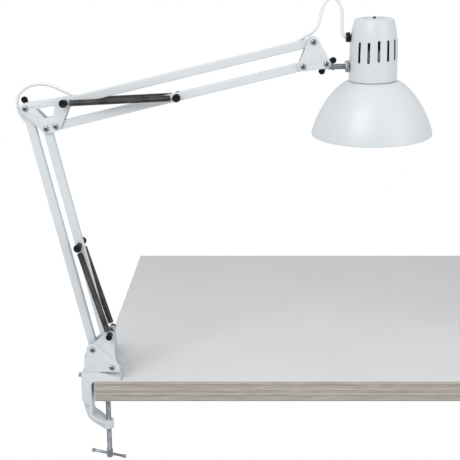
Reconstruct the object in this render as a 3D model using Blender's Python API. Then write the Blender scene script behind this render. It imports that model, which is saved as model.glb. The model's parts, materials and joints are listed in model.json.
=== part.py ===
"""Swing arm desk lamp with a table clamp: two spring-balanced parallelogram arms and a metal shade.

Run with: blender --background --python part.py
World units are metres, +Z up, +X along the arms towards the head, +Y towards the rear plates.
The origin lies on the underside of the clamp's upper jaw, which rests on the table top.
Dimensions below are in millimetres and are scaled by MM where a mesh is made.
"""

import math

import bmesh
import bpy
from mathutils import Matrix, Vector
from mathutils.geometry import tessellate_polygon

MM = 0.001
GAP = 0.3  # clearance between pieces that touch

# Arms, as (x, z) points in the plane of the arms
TUBE = 12.0
TUBE_WALL = 1.0
TUBE_END = 5.5  # how far a tube runs on past its last pivot
TUBE_BASE_END = 3.6  # the same at the yoke, where there is less room
TUBE_CHAMFER = 3.0
LOWER_LENGTH, LOWER_ANGLE = 375.3, 103.0
UPPER_LENGTH, UPPER_ANGLE = 365.0, 13.5
BASE_UPPER = Vector((-1.0, 51.0))  # rear tube's pivot, over the swivel pin
LOWER_LINK = Vector((29.0, -29.0))  # from a rear pivot to the front pivot beside it
UPPER_LINK_LENGTH, UPPER_LINK_ANGLE = 37.0, 67.5
LOWER_SPRING_AT = 196.0  # along the front tube from its lower pivot
UPPER_SPRING_AT = 180.0  # along the bottom tube from its elbow pivot
SPRING_POST = Vector((26.0, 74.5))

# Widths along Y, as distances from the plane of the arms
PLATE = 1.5
ARM_PLATE_IN = 8.0  # inner face of the elbow and head plates
POST_IN = 11.4
YOKE_IN = 13.2
SPRING_Y = 20.0
SPOOL_END = 26.0

BOLT_R = 2.5
HOLE_R = 2.8
BUSH_R = 4.7
PIN_R = 2.2

# Springs
SPRING_R = 4.6
SPRING_END_GAP = 8.5  # from a spring's anchor to the start of its coils

# Clamp
CLAMP_HALF = 15.0
SWIVEL_X = -1.0
SCREW_X = 18.0
SCREW_R = 4.0
BOSS_R = 7.8
LOCK_Z = 4.4
TABLE_THICKNESS = 33.0
BAR_Z = -129.0
BAR_YAW = -22.0
BAR_SHIFT = -1.7  # how far the bar is pushed through the screw

# Head
STEM_REACH = 67.1  # from the bracket's front pivot to the neck's axis
STEM_DROP = 4.3
STEM_SLOPE = 1.5  # the stem rises a little towards the head
STEM_R = 4.0
HEAD_ROLL = 6.0  # the shade is turned a little about its stem
NECK_R = 34.3
NECK_BOTTOM = -19.8
GLAND_Z = 41.0
VENTS = 15
WALL = 1.2

# Cord
CORD_R = 2.4
CORD_STEP = 8.0  # distance between the points of a cord's tube
HANK_CENTRE = Vector((-1.5, 90.8))
HANK_TURN = math.radians(8.9)
HANK_STRAIGHT = 34.0
HANK_HALF_WIDTH = 21.8
HANK_HEIGHT = 19.5


def along(angle, length):
    """A vector of this length at this angle in the plane of the arms."""
    return Vector((math.cos(math.radians(angle)), math.sin(math.radians(angle)))) * length


BASE_LOWER = BASE_UPPER + LOWER_LINK
ELBOW_REAR = BASE_UPPER + along(LOWER_ANGLE, LOWER_LENGTH)
ELBOW_FRONT = ELBOW_REAR + LOWER_LINK
ELBOW_ARM = ELBOW_FRONT + Vector((14.0, 3.4))
UPPER_LINK = along(UPPER_LINK_ANGLE, UPPER_LINK_LENGTH)
ELBOW_SPRING = ELBOW_ARM + UPPER_LINK
HEAD_LOWER = ELBOW_ARM + along(UPPER_ANGLE, UPPER_LENGTH)
HEAD_UPPER = HEAD_LOWER + UPPER_LINK
HEAD_TILT = HEAD_LOWER + Vector((33.5, 3.5))
HEAD_X = HEAD_TILT.x + STEM_REACH
STEM_Z = HEAD_TILT.y - STEM_DROP
LOWER_SPRING = BASE_LOWER + along(LOWER_ANGLE, LOWER_SPRING_AT)
UPPER_SPRING = ELBOW_ARM + along(UPPER_ANGLE, UPPER_SPRING_AT)
HEAD_ORIGIN = Vector((HEAD_X, 0.0, STEM_Z))

COLOURS = {
    "white_paint": ((0.80, 0.82, 0.83), 0.38, 0.0),
    "steel": ((0.62, 0.63, 0.64), 0.28, 1.0),
    "black_plastic": ((0.02, 0.02, 0.022), 0.42, 0.0),
    "spring_wire": ((0.09, 0.09, 0.095), 0.35, 1.0),
    "white_cord": ((0.78, 0.79, 0.80), 0.5, 0.0),
    "socket_ceramic": ((0.75, 0.74, 0.70), 0.35, 0.0),
    "bulb_opal": ((0.90, 0.89, 0.86), 0.3, 0.0),
}


def clear_scene():
    for obj in list(bpy.data.objects):
        bpy.data.objects.remove(obj, do_unlink=True)


def give_material(obj, finish):
    colour, roughness, metallic = COLOURS[finish]
    material = bpy.data.materials.new(obj.name)
    material.use_nodes = True
    shader = material.node_tree.nodes["Principled BSDF"]
    shader.inputs["Base Color"].default_value = (*colour, 1.0)
    shader.inputs["Roughness"].default_value = roughness
    shader.inputs["Metallic"].default_value = metallic
    obj.data.materials.clear()
    obj.data.materials.append(material)


def add_mesh(name, bm, finish=None, smooth=True):
    """An object from a bmesh whose points are in millimetres."""
    bmesh.ops.recalc_face_normals(bm, faces=bm.faces)
    bmesh.ops.scale(bm, vec=(MM, MM, MM), verts=bm.verts)
    mesh = bpy.data.meshes.new(name)
    bm.to_mesh(mesh)
    bm.free()
    if smooth:
        mesh.shade_smooth()
        mesh.set_sharp_from_angle(angle=math.radians(35))
    obj = bpy.data.objects.new(name, mesh)
    bpy.context.collection.objects.link(obj)
    if finish:
        give_material(obj, finish)
    return obj


def fix_origin(obj, x, y, z):
    """Put a moving piece's origin on its joint's axis, leaving its mesh where it is."""
    offset = Vector((x, y, z)) * MM
    obj.data.transform(Matrix.Translation(-offset))
    obj.location = offset
    return obj


def at(point, y=0.0):
    """The (x, y, z) of a point in the plane of the arms, moved by y."""
    return point.x, y, point.y


def add_pivot(name, place):
    """An empty that its children turn about."""
    pivot = bpy.data.objects.new(name, None)
    bpy.context.collection.objects.link(pivot)
    pivot.location = Vector(place) * MM
    return pivot


def hang(obj, pivot):
    """Parent an object to a pivot; its own place is given as if the pivot weren't turned."""
    obj.parent = pivot
    obj.location -= pivot.location


def boolean(obj, cutter, operation="DIFFERENCE"):
    modifier = obj.modifiers.new(cutter.name, "BOOLEAN")
    modifier.object = cutter
    modifier.operation = operation
    modifier.solver = "EXACT"
    cutter.hide_render = True
    cutter.display_type = "WIRE"


# Shapes


def prism_mesh(outline, low, high, holes=(), axis="Y"):
    """A plate: an outline with holes, in the plane across the axis, from low to high along it."""
    bm = bmesh.new()
    loops = [list(outline)] + [list(hole) for hole in holes]
    if axis == "Y":
        place = lambda p, t: (p[0], t, p[1])
    elif axis == "Z":
        place = lambda p, t: (p[0], p[1], t)
    else:
        place = lambda p, t: (t, p[0], p[1])
    bottoms = [[bm.verts.new(place(p, low)) for p in loop] for loop in loops]
    tops = [[bm.verts.new(place(p, high)) for p in loop] for loop in loops]
    triangles = tessellate_polygon([[Vector((p[0], p[1], 0.0)) for p in loop] for loop in loops])
    flat_bottom = [vert for loop in bottoms for vert in loop]
    flat_top = [vert for loop in tops for vert in loop]
    for triangle in triangles:
        bm.faces.new([flat_bottom[i] for i in triangle])
        bm.faces.new([flat_top[i] for i in reversed(triangle)])
    for bottom, top in zip(bottoms, tops):
        count = len(bottom)
        for i in range(count):
            j = (i + 1) % count
            bm.faces.new((bottom[i], bottom[j], top[j], top[i]))
    return bm


def circle(centre, radius, count=16, start=0.0):
    return [
        (centre[0] + radius * math.cos(start + 2 * math.pi * i / count),
         centre[1] + radius * math.sin(start + 2 * math.pi * i / count))
        for i in range(count)
    ]


def hull_outline(discs, steps=24):
    """The outline of a band stretched round discs, each (centre, radius)."""
    points = []
    for i in range(steps * 3):
        angle = 2 * math.pi * i / (steps * 3)
        ray = Vector((math.cos(angle), math.sin(angle)))
        centre, radius = max(discs, key=lambda disc: disc[0].dot(ray) + disc[1])
        point = centre + ray * radius
        if not points or (point - points[-1]).length > 0.9:
            points.append(point)
    if (points[0] - points[-1]).length < 0.9:
        points.pop()
    return points


def turned_mesh(profile, centre, axis, segments=24, closed=False):
    """A profile of (radius, distance along the axis) turned about an axis through the centre."""
    bm = bmesh.new()
    centre = Vector(centre)
    axis = Vector(axis).normalized()
    across = axis.cross(Vector((0, 0, 1))) if abs(axis.z) < 0.9 else Vector((1, 0, 0))
    across.normalize()
    other = axis.cross(across)
    rings = []
    for radius, distance in profile:
        base = centre + axis * distance
        if radius < 1e-6:
            rings.append([bm.verts.new(base)])
            continue
        rings.append([
            bm.verts.new(base + radius * (across * math.cos(a) + other * math.sin(a)))
            for a in (2 * math.pi * i / segments for i in range(segments))
        ])
    pairs = list(zip(rings, rings[1:]))
    if closed:
        pairs.append((rings[-1], rings[0]))
    for first, second in pairs:
        for i in range(segments):
            j = (i + 1) % segments
            if len(first) == 1:
                bm.faces.new((first[0], second[j], second[i]))
            elif len(second) == 1:
                bm.faces.new((first[i], first[j], second[0]))
            else:
                bm.faces.new((first[i], first[j], second[j], second[i]))
    return bm


def turned(name, profile, centre, axis, finish=None, segments=24, closed=False):
    return add_mesh(name, turned_mesh(profile, centre, axis, segments, closed), finish)


def box(name, low, high, finish=None):
    outline = [(low[0], low[2]), (high[0], low[2]), (high[0], high[2]), (low[0], high[2])]
    return add_mesh(name, prism_mesh(outline, low[1], high[1]), finish, smooth=False)


def rod(name, start, end, radius, finish=None, segments=16):
    start, end = Vector(start), Vector(end)
    bm = turned_mesh([(radius, 0), (radius, (end - start).length)], start, end - start, segments)
    bmesh.ops.holes_fill(bm, edges=[edge for edge in bm.edges if edge.is_boundary], sides=segments)
    return add_mesh(name, bm, finish)


def smooth_path(points, step=CORD_STEP):
    """Points about a step apart on a Catmull-Rom curve through the route's own points."""
    points = [Vector(p) for p in points]
    padded = [2 * points[0] - points[1]] + points + [2 * points[-1] - points[-2]]
    fine = []
    for a, b, c, d in zip(padded, padded[1:], padded[2:], padded[3:]):
        for k in range(12):
            t = k / 12
            fine.append(0.5 * (2 * b + (c - a) * t + (2 * a - 5 * b + 4 * c - d) * t * t
                               + (3 * b - a - 3 * c + d) * t ** 3))
    fine.append(points[-1])
    lengths = [0.0]
    for a, b in zip(fine, fine[1:]):
        lengths.append(lengths[-1] + (b - a).length)
    count = max(4, round(lengths[-1] / step))
    result = []
    k = 0
    for i in range(count + 1):
        target = lengths[-1] * i / count
        while k < len(fine) - 2 and lengths[k + 1] < target:
            k += 1
        share = (target - lengths[k]) / (lengths[k + 1] - lengths[k])
        result.append(fine[k].lerp(fine[k + 1], share))
    return result


def cord(name, points):
    curve = bpy.data.curves.new(name, "CURVE")
    curve.dimensions = "3D"
    curve.bevel_depth = CORD_R * MM
    curve.bevel_resolution = 2
    curve.use_fill_caps = True
    path = smooth_path(points)
    spline = curve.splines.new("POLY")
    spline.points.add(len(path) - 1)
    for point, position in zip(spline.points, path):
        point.co = (*(position * MM), 1.0)
    obj = bpy.data.objects.new(name, curve)
    bpy.context.collection.objects.link(obj)
    give_material(obj, "white_cord")
    return obj


# Fasteners


def bolt(name, point, reach, finish="steel"):
    """A pan head in front, a shank, and a nut at the rear, along Y; reach is the plates' outer face."""
    front = -reach - GAP
    rear = reach + GAP
    profile = [
        (0, front - 2.6), (2.4, front - 2.5), (3.9, front - 1.5), (4.2, front),
        (BOLT_R, front), (BOLT_R, rear), (4.6, rear), (4.6, rear + 3.6), (3.9, rear + 4.2),
        (BOLT_R, rear + 4.2), (BOLT_R, rear + 5.4), (0, rear + 5.6),
    ]
    return turned(name, profile, at(point), (0, 1, 0), finish, 12)


def clamping_bolt(name, point):
    """A bolt whose rear end stands out for a wing nut."""
    front = -ARM_PLATE_IN - PLATE - GAP
    profile = [
        (0, front - 2.6), (2.4, front - 2.5), (3.9, front - 1.5), (4.2, front),
        (BOLT_R, front), (BOLT_R, 21.0), (2.0, 21.8), (0, 21.8),
    ]
    return turned(name, profile, at(point), (0, 1, 0), "steel", 12)


def wing_nut(name, point, wing_angles):
    """A round hub with two wings in the plane across Y, on a clamping bolt behind the plates."""
    low = ARM_PLATE_IN + PLATE + GAP
    hub = [(HOLE_R, low), (8.2, low), (8.2, low + 1.6), (6.2, low + 3.0), (5.6, low + 9.0),
           (4.8, low + 9.8), (HOLE_R, low + 9.8)]
    nut = turned(name, hub, at(point), (0, 1, 0), "black_plastic", 20, closed=True)
    for i, angle in enumerate(wing_angles):
        ray = along(angle, 1.0)
        side = Vector((-ray.y, ray.x))
        root = point + ray * 4.4
        outline = [root + side * 2.4, root - side * 2.4]
        tip = point + ray * 12.2
        for k in range(9):
            turn = math.radians(angle - 100 + 200 * k / 8)
            outline.append(tip + Vector((math.cos(turn), math.sin(turn))) * 4.6)
        wing = add_mesh(f"{name}_wing_{i}", prism_mesh(outline, low + 3.2, low + 7.6))
        boolean(nut, wing, "UNION")
    return fix_origin(nut, *at(point))


def spool(name, point, inner, side, head=5.9):
    """A black spool that holds a spring's loop, with its round head outside; side is -1 in front."""
    profile = [
        (0, SPOOL_END - 1.6), (PIN_R + GAP, SPOOL_END - 1.6), (PIN_R + GAP, inner), (4.6, inner),
        (4.6, inner + 1.4), (3.3, inner + 2.0), (3.3, SPOOL_END - 5.0),
        (head - 0.5, SPOOL_END - 4.0), (head, SPOOL_END - 3.2), (head, SPOOL_END - 0.9), (head - 0.7, SPOOL_END),
        (0, SPOOL_END),
    ]
    return turned(name, profile, at(point), (0, side, 0), "black_plastic", 14)


def spring_pin(name, point):
    half = SPOOL_END - 1.9
    return turned(name, [(0, -half), (PIN_R, -half), (PIN_R, half), (0, half)], at(point), (0, 1, 0), "steel", 10)


# Clamp


def make_clamp():
    outline = [
        (-19.5, 11.0), (-18.2, 13.5), (-15.5, 14.5), (6.0, 14.5), (40.0, 4.4), (40.0, 0.0), (0.0, 0.0),
        (-5.2, -5.0), (-5.2, -54.5), (-3.4, -57.6), (13.0, -69.0), (26.0, -71.0), (26.0, -83.5), (11.5, -83.5),
        (-7.5, -70.5), (-13.8, -62.0), (-18.2, -46.0), (-20.0, -31.0), (-20.2, -4.0),
    ]
    frame = add_mesh("clamp_frame", prism_mesh(outline, -CLAMP_HALF, CLAMP_HALF), "white_paint")
    web = [(-30.0, -33.0), (-20.0, -33.0), (-8.9, -39.5), (-8.9, -56.0), (-6.4, -60.6), (13.0, -74.2),
           (13.0, -95.0), (-30.0, -95.0)]
    for side in (-1, 1):
        taper = [(3.0, side * 30.0), (3.0, side * 15.2)]
        for turn in (66, 50, 34, 17, 0):
            x, y = along(turn, BOSS_R)
            taper.append((SCREW_X + x, side * y))
        taper += [(60.0, 0.0), (60.0, side * 30.0)]
        boolean(frame, add_mesh(f"boss_trim_{side}", prism_mesh(taper, -90.0, -60.0, axis="Z")))
        low, high = sorted((side * 6.5, side * 20.0))
        boolean(frame, add_mesh(f"web_trim_{side}", prism_mesh(web, low, high)))
    boolean(frame, rod("swivel_bore", (SWIVEL_X, 0, 2.0), (SWIVEL_X, 0, 24.0), 5.3, segments=20))
    boolean(frame, rod("screw_bore", (SCREW_X, 0, -90.0), (SCREW_X, 0, -50.0), SCREW_R + GAP, segments=20))
    boolean(frame, rod("lock_bore", (-30.0, 0, LOCK_Z), (SWIVEL_X, 0, LOCK_Z), 2.3, segments=14))
    turned("swivel_lock_screw",
           [(0, -27.0), (3.2, -27.0), (3.6, -26.4), (3.6, -21.2), (3.0, -20.8), (2.0, -20.8), (2.0, -6.8),
            (0, -6.8)], (0, 0, LOCK_Z), (1, 0, 0), "steel", 16)


def make_clamp_screw():
    top = -TABLE_THICKNESS - GAP
    pad = turned("pressure_pad",
                 [(0, top), (11.0, top), (11.5, top - 0.8), (11.5, top - 2.2), (6.5, top - 3.2), (6.0, top - 5.8),
                  (0, top - 5.8)], (SCREW_X, 0, 0), (0, 0, 1), "steel", 28)
    fix_origin(pad, SCREW_X, 0, top)
    start = top - 5.8 - GAP
    end = BAR_Z - 5.5
    profile = [(0, start), (2.8, start), (SCREW_R, start - 1.4), (SCREW_R, BAR_Z + 8.5), (4.9, BAR_Z + 7.6),
               (4.9, end + 1.0), (3.9, end), (0, end)]
    screw = turned("clamp_screw", profile, (SCREW_X, 0, 0), (0, 0, 1), "steel", 20)
    yaw = math.radians(BAR_YAW)
    ray = Vector((math.cos(yaw), math.sin(yaw), 0.0))
    middle = Vector((SCREW_X, 0, BAR_Z))
    boolean(screw, rod("bar_bore", middle - ray * 12, middle + ray * 12, 2.5, segments=14))
    fix_origin(screw, SCREW_X, 0, 0)
    left, right, r, knob = -30.8, 30.8, 2.1, 3.2
    profile = [(0, left), (1.8, left + 0.3), (knob, left + 1.6), (knob, left + 4.4), (r, left + 5.4),
               (r, right - 5.4), (knob, right - 4.4), (knob, right - 1.6), (1.8, right - 0.3), (0, right)]
    bar = turned("tommy_bar", profile, middle + ray * BAR_SHIFT, ray, "steel", 14)
    fix_origin(bar, *middle)
    return [pad, screw, bar]


# Base


def make_base():
    outline = [(-14.3, 15.0), (39.0, 15.0), (39.0, 24.0)]
    outline += [tuple(BASE_LOWER + along(a, 11.0)) for a in (12, 28, 45)]
    outline += [tuple(BASE_UPPER + along(a, 9.5)) for a in (45, 65, 90, 115, 140, 165, 190)]
    outline += [(-10.9, 42.6), (-13.2, 41.4), (-14.3, 39.0)]
    yoke = add_mesh("base_yoke", prism_mesh(outline, -YOKE_IN - PLATE, YOKE_IN + PLATE), "white_paint")
    boolean(yoke, box("yoke_inside", (-12.8, -YOKE_IN, 16.5), (60.0, YOKE_IN, 90.0)))
    for label, point in (("upper", BASE_UPPER), ("lower", BASE_LOWER)):
        boolean(yoke, rod(f"yoke_{label}_hole", at(point, -30), at(point, 30), HOLE_R))
    boolean(yoke, rod("yoke_pin_hole", (SWIVEL_X, 0, 4), (SWIVEL_X, 0, 24), 3.0))
    boolean(yoke, rod("yoke_cord_hole", (-7.0, 5, 24.5), (-7.0, 30, 24.5), 3.8))
    fix_origin(yoke, SWIVEL_X, 0, 0)
    pin = turned("swivel_pin",
                 [(0, 2.3), (4.2, 2.3), (5.0, 3.1), (5.0, 14.7), (2.7, 14.7), (2.7, 16.8), (5.4, 16.8),
                  (5.4, 18.5), (4.4, 19.7), (0, 19.7)], (SWIVEL_X, 0, 0), (0, 0, 1), "steel", 20)
    fix_origin(pin, SWIVEL_X, 0, 0)
    pieces = [yoke, pin]
    outline = hull_outline([(BASE_UPPER, 6.6), (BASE_LOWER, 5.1), (SPRING_POST, 6.4)])
    holes = [circle(p, HOLE_R, 14) for p in (BASE_UPPER, BASE_LOWER, SPRING_POST)]
    for side, label in ((-1, "front"), (1, "rear")):
        low, high = sorted((side * POST_IN, side * (POST_IN + PLATE)))
        pieces.append(add_mesh(f"spring_post_{label}", prism_mesh(outline, low, high, holes), "white_paint"))
        head = POST_IN - GAP
        profile = [(0, head - 2.2), (2.6, head - 2.1), (4.4, head - 1.2), (4.4, head), (PIN_R, head),
                   (PIN_R, SPOOL_END - 1.9), (0, SPOOL_END - 1.9)]
        pieces.append(turned(f"post_bolt_{label}", profile, at(SPRING_POST), (0, side, 0), "steel", 16))
        pieces.append(spool(f"post_sleeve_{label}", SPRING_POST, POST_IN + PLATE + GAP, side, 4.9))
    pieces.append(bolt("base_bolt_upper", BASE_UPPER, YOKE_IN + PLATE))
    pieces.append(bolt("base_bolt_lower", BASE_LOWER, YOKE_IN + PLATE))
    relief = turned("cord_strain_relief",
                    [(0, 10.4), (4.4, 10.4), (5.2, 11.2), (5.2, 12.9), (3.4, 12.9), (3.4, 15.1), (4.9, 15.1),
                     (4.9, 17.0), (4.2, 20.0), (3.7, 28.0), (3.2, 38.0), (0, 38.0)],
                    (-7.0, 0, 24.5), (0, 1, 0), "black_plastic", 18)
    pieces.append(relief)
    return pieces


# Arms


def make_tube(name, start, end, start_bush, end_bush, start_end=TUBE_END, spring_at=None, cord_slots=()):
    """A square tube with a bush through it at each pivot; slots are (distance, side of the tube)."""
    ray = (end - start).normalized()
    up = Vector((-ray.y, ray.x))
    first = start - ray * start_end
    length = (end - start).length + start_end + TUBE_END
    half = TUBE / 2
    rounding = 1.3

    def section(h, r):
        corners = []
        for cx, cy, a in ((h - r, h - r, 0), (r - h, h - r, 90), (r - h, r - h, 180), (h - r, r - h, 270)):
            for k in range(3):
                turn = math.radians(a + 45 * k)
                corners.append((cx + r * math.cos(turn), cy + r * math.sin(turn)))
        return corners

    def sweep(points, low, high):
        bm = bmesh.new()
        rings = []
        for distance in (low, high):
            rings.append([
                bm.verts.new((first.x + ray.x * distance + up.x * v, u, first.y + ray.y * distance + up.y * v))
                for u, v in points
            ])
        count = len(points)
        for i in range(count):
            j = (i + 1) % count
            bm.faces.new((rings[0][i], rings[0][j], rings[1][j], rings[1][i]))
        bm.faces.new(rings[0])
        bm.faces.new(rings[1])
        return bm

    tube = add_mesh(name, sweep(section(half, rounding), 0.0, length), "white_paint")
    inside = add_mesh(f"{name}_inside", sweep(section(half - TUBE_WALL, 0.6), -1.0, length + 1.0))
    boolean(tube, inside)
    corners = [first + ray * a + up * b for a, b in (
        (0.0, half - TUBE_CHAMFER), (0.0, TUBE_CHAMFER - half), (TUBE_CHAMFER, -half - 0.1),
        (length - TUBE_CHAMFER, -half - 0.1), (length, TUBE_CHAMFER - half), (length, half - TUBE_CHAMFER),
        (length - TUBE_CHAMFER, half + 0.1), (TUBE_CHAMFER, half + 0.1))]
    trim = add_mesh(f"{name}_ends", prism_mesh(corners, -TUBE, TUBE), smooth=False)
    boolean(tube, trim, "INTERSECT")
    for label, point, reach in (("start", start, start_bush), ("end", end, end_bush)):
        middle = (HOLE_R + BUSH_R) / 2
        boolean(tube, rod(f"{name}_{label}_bore", at(point, -30), at(point, 30), middle, segments=17))
        ring = [(HOLE_R, -reach), (BUSH_R, -reach), (BUSH_R, reach), (HOLE_R, reach)]
        bush = turned(f"{name}_{label}_bush", ring, at(point), (0, 1, 0), segments=20, closed=True)
        boolean(tube, bush, "UNION")
    if spring_at is not None:
        point = start + ray * spring_at
        boolean(tube, rod(f"{name}_spring_bore", at(point, -30), at(point, 30), PIN_R + GAP))
    for i, (distance, side) in enumerate(cord_slots):
        middle = start + ray * distance
        edge = middle + up * side * half
        outline = [edge + ray * a + up * b for a, b in ((-5.5, -2.5), (5.5, -2.5), (5.5, 2.5), (-5.5, 2.5))]
        slot = add_mesh(f"{name}_slot_{i}", prism_mesh(outline, -3.4, 3.4), smooth=False)
        boolean(tube, slot)
    return fix_origin(tube, *at(start))


def make_lower_arm():
    base_bush = POST_IN - GAP
    elbow_bush = ARM_PLATE_IN - GAP
    pieces = [
        make_tube("lower_rear_tube", BASE_UPPER, ELBOW_REAR, base_bush, elbow_bush, TUBE_BASE_END,
                  cord_slots=((LOWER_LENGTH - 17.0, 1),)),
        make_tube("lower_front_tube", BASE_LOWER, ELBOW_FRONT, base_bush, elbow_bush, TUBE_BASE_END,
                  spring_at=LOWER_SPRING_AT),
        spring_pin("lower_spring_pin", LOWER_SPRING),
    ]
    for side, label in ((-1, "front"), (1, "rear")):
        pieces.append(spool(f"lower_spring_knob_{label}", LOWER_SPRING, TUBE / 2 + GAP, side))
    return pieces


def make_elbow():
    discs = [(ELBOW_REAR, 7.6), (ELBOW_FRONT, 7.2), (ELBOW_ARM, 7.2), (ELBOW_SPRING, 7.6)]
    corners = [ELBOW_REAR + Vector((15.0, -0.4)), ELBOW_SPRING + Vector((-14.5, -4.6)),
               ELBOW_ARM + Vector((-3.6, 14.2)), ELBOW_FRONT + Vector((-1.2, 15.2))]
    window = rounded(corners, 2.0)
    holes = [circle(p, HOLE_R, 14) for p in (ELBOW_REAR, ELBOW_FRONT, ELBOW_ARM)]
    holes.append(circle(ELBOW_SPRING, PIN_R + GAP, 14))
    pieces = []
    for side, label in ((-1, "front"), (1, "rear")):
        low, high = sorted((side * ARM_PLATE_IN, side * (ARM_PLATE_IN + PLATE)))
        mesh = prism_mesh(hull_outline(discs), low, high, holes + [window])
        pieces.append(fix_origin(add_mesh(f"elbow_plate_{label}", mesh, "white_paint"), *at(ELBOW_REAR)))
    reach = ARM_PLATE_IN + PLATE
    pieces.append(clamping_bolt("elbow_bolt_rear", ELBOW_REAR))
    pieces.append(bolt("elbow_bolt_front", ELBOW_FRONT, reach))
    pieces.append(bolt("elbow_bolt_arm", ELBOW_ARM, reach))
    pieces.append(spring_pin("elbow_spring_pin", ELBOW_SPRING))
    for side, label in ((-1, "front"), (1, "rear")):
        pieces.append(spool(f"elbow_spring_knob_{label}", ELBOW_SPRING, reach + GAP, side))
    pieces.append(wing_nut("elbow_wing_nut", ELBOW_REAR, (118.0, 20.0)))
    return pieces


def rounded(corners, radius):
    """A polygon with each corner cut by a short arc of about this radius."""
    points = []
    count = len(corners)
    for i, corner in enumerate(corners):
        before = (corners[i - 1] - corner).normalized()
        after = (corners[(i + 1) % count] - corner).normalized()
        start, end = corner + before * radius, corner + after * radius
        for k in range(4):
            t = k / 3
            points.append((1 - t) ** 2 * start + 2 * t * (1 - t) * corner + t * t * end)
    return points


def make_upper_arm():
    bush = ARM_PLATE_IN - GAP
    pieces = [
        make_tube("upper_top_tube", ELBOW_SPRING, HEAD_UPPER, bush, bush,
                  cord_slots=((13.0, 1), (UPPER_LENGTH - 17.0, 1))),
        make_tube("upper_bottom_tube", ELBOW_ARM, HEAD_LOWER, bush, bush, spring_at=UPPER_SPRING_AT),
        spring_pin("upper_spring_pin", UPPER_SPRING),
    ]
    for side, label in ((-1, "front"), (1, "rear")):
        pieces.append(spool(f"upper_spring_knob_{label}", UPPER_SPRING, TUBE / 2 + GAP, side))
    return pieces


def make_springs():
    pieces = []
    for arm, low_point, high_point in (("lower", SPRING_POST, LOWER_SPRING), ("upper", ELBOW_SPRING, UPPER_SPRING)):
        ray = (high_point - low_point).normalized()
        length = (high_point - low_point).length
        a, b = SPRING_END_GAP, length - SPRING_END_GAP
        profile = [(0, a), (3.2, a), (SPRING_R, a + 1.6), (SPRING_R, b - 1.6), (3.2, b), (0, b)]
        for side, label in ((-1, "front"), (1, "rear")):
            pieces.append(turned(f"{arm}_spring_{label}", profile, at(low_point, side * SPRING_Y),
                                 (ray.x, 0, ray.y), "spring_wire", 12))
    return pieces


# Head


def make_head_bracket():
    discs = [(HEAD_UPPER, 8.0), (HEAD_LOWER, 7.0), (HEAD_TILT, 5.9)]
    holes = [circle(p, HOLE_R, 14) for p in (HEAD_UPPER, HEAD_LOWER, HEAD_TILT)]
    pieces = []
    for side, label in ((-1, "front"), (1, "rear")):
        low, high = sorted((side * ARM_PLATE_IN, side * (ARM_PLATE_IN + PLATE)))
        mesh = prism_mesh(hull_outline(discs), low, high, holes)
        pieces.append(fix_origin(add_mesh(f"head_plate_{label}", mesh, "white_paint"), *at(HEAD_UPPER)))
    reach = ARM_PLATE_IN + PLATE
    pieces.append(bolt("head_bolt_top", HEAD_UPPER, reach))
    pieces.append(bolt("head_bolt_bottom", HEAD_LOWER, reach))
    pieces.append(clamping_bolt("head_bolt_tilt", HEAD_TILT))
    pieces.append(wing_nut("head_wing_nut", HEAD_TILT, (20.0, 248.0)))
    return pieces


def make_stem():
    start = HEAD_TILT.x
    inner = HEAD_X - NECK_R + WALL + 6.2
    face = ARM_PLATE_IN - GAP
    eye = turned("stem", [(0, -face), (6.6, -face), (6.6, face), (0, face)], at(HEAD_TILT), (0, 1, 0), "steel", 24)
    profile = [(0, 1.0), (STEM_R, 1.0), (STEM_R, 7.9), (5.2, 7.9), (5.2, 11.9), (STEM_R, 11.9),
               (STEM_R, inner - start), (0, inner - start)]
    shank = turned("stem_shank", profile, (start, 0, STEM_Z), (1, 0, 0), segments=20)
    boolean(eye, shank, "UNION")
    bore = rod("stem_bore", at(HEAD_TILT, -30), at(HEAD_TILT, 30), HOLE_R)
    boolean(eye, bore)
    fix_origin(eye, *at(HEAD_TILT))
    outside = HEAD_X - NECK_R
    outer = [(STEM_R + GAP, outside - 5.6), (8.2, outside - 5.6), (8.8, outside - 4.8), (8.8, outside - 1.6),
             (7.4, outside - 0.9), (STEM_R + GAP, outside - 0.9)]
    inside = outside + WALL + 1.6
    inner_nut = prism_mesh([(y, z + STEM_Z) for y, z in circle((0, 0), 7.2, 6)], inside, inside + 3.4,
                           [circle((0, STEM_Z), STEM_R + GAP, 16)], axis="X")
    pivot = add_pivot("stem_pivot", at(HEAD_TILT))
    pivot.rotation_euler = (0.0, math.radians(-STEM_SLOPE), 0.0)
    pieces = [
        eye, shank, bore,
        turned("stem_nut_outer", outer, (0, 0, STEM_Z), (1, 0, 0), "steel", 20, closed=True),
        add_mesh("stem_nut_inner", inner_nut, "steel", smooth=False),
    ]
    for piece in pieces:
        hang(piece, pivot)
    return pivot


def neck_profile():
    outer = [(27.0, 65.6), (28.0, 64.6), (31.0, 52.0), (33.0, 38.0), (33.9, 16.0), (34.2, -4.0),
             (NECK_R, NECK_BOTTOM)]
    inner = [(r - WALL, z) for r, z in outer[:1:-1]] + [(26.6, 63.6)]
    return [(0, 67.0), (14.0, 66.7), (25.0, 66.2)] + outer + inner + [(14.0, 65.2), (0, 65.4)]


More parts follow.
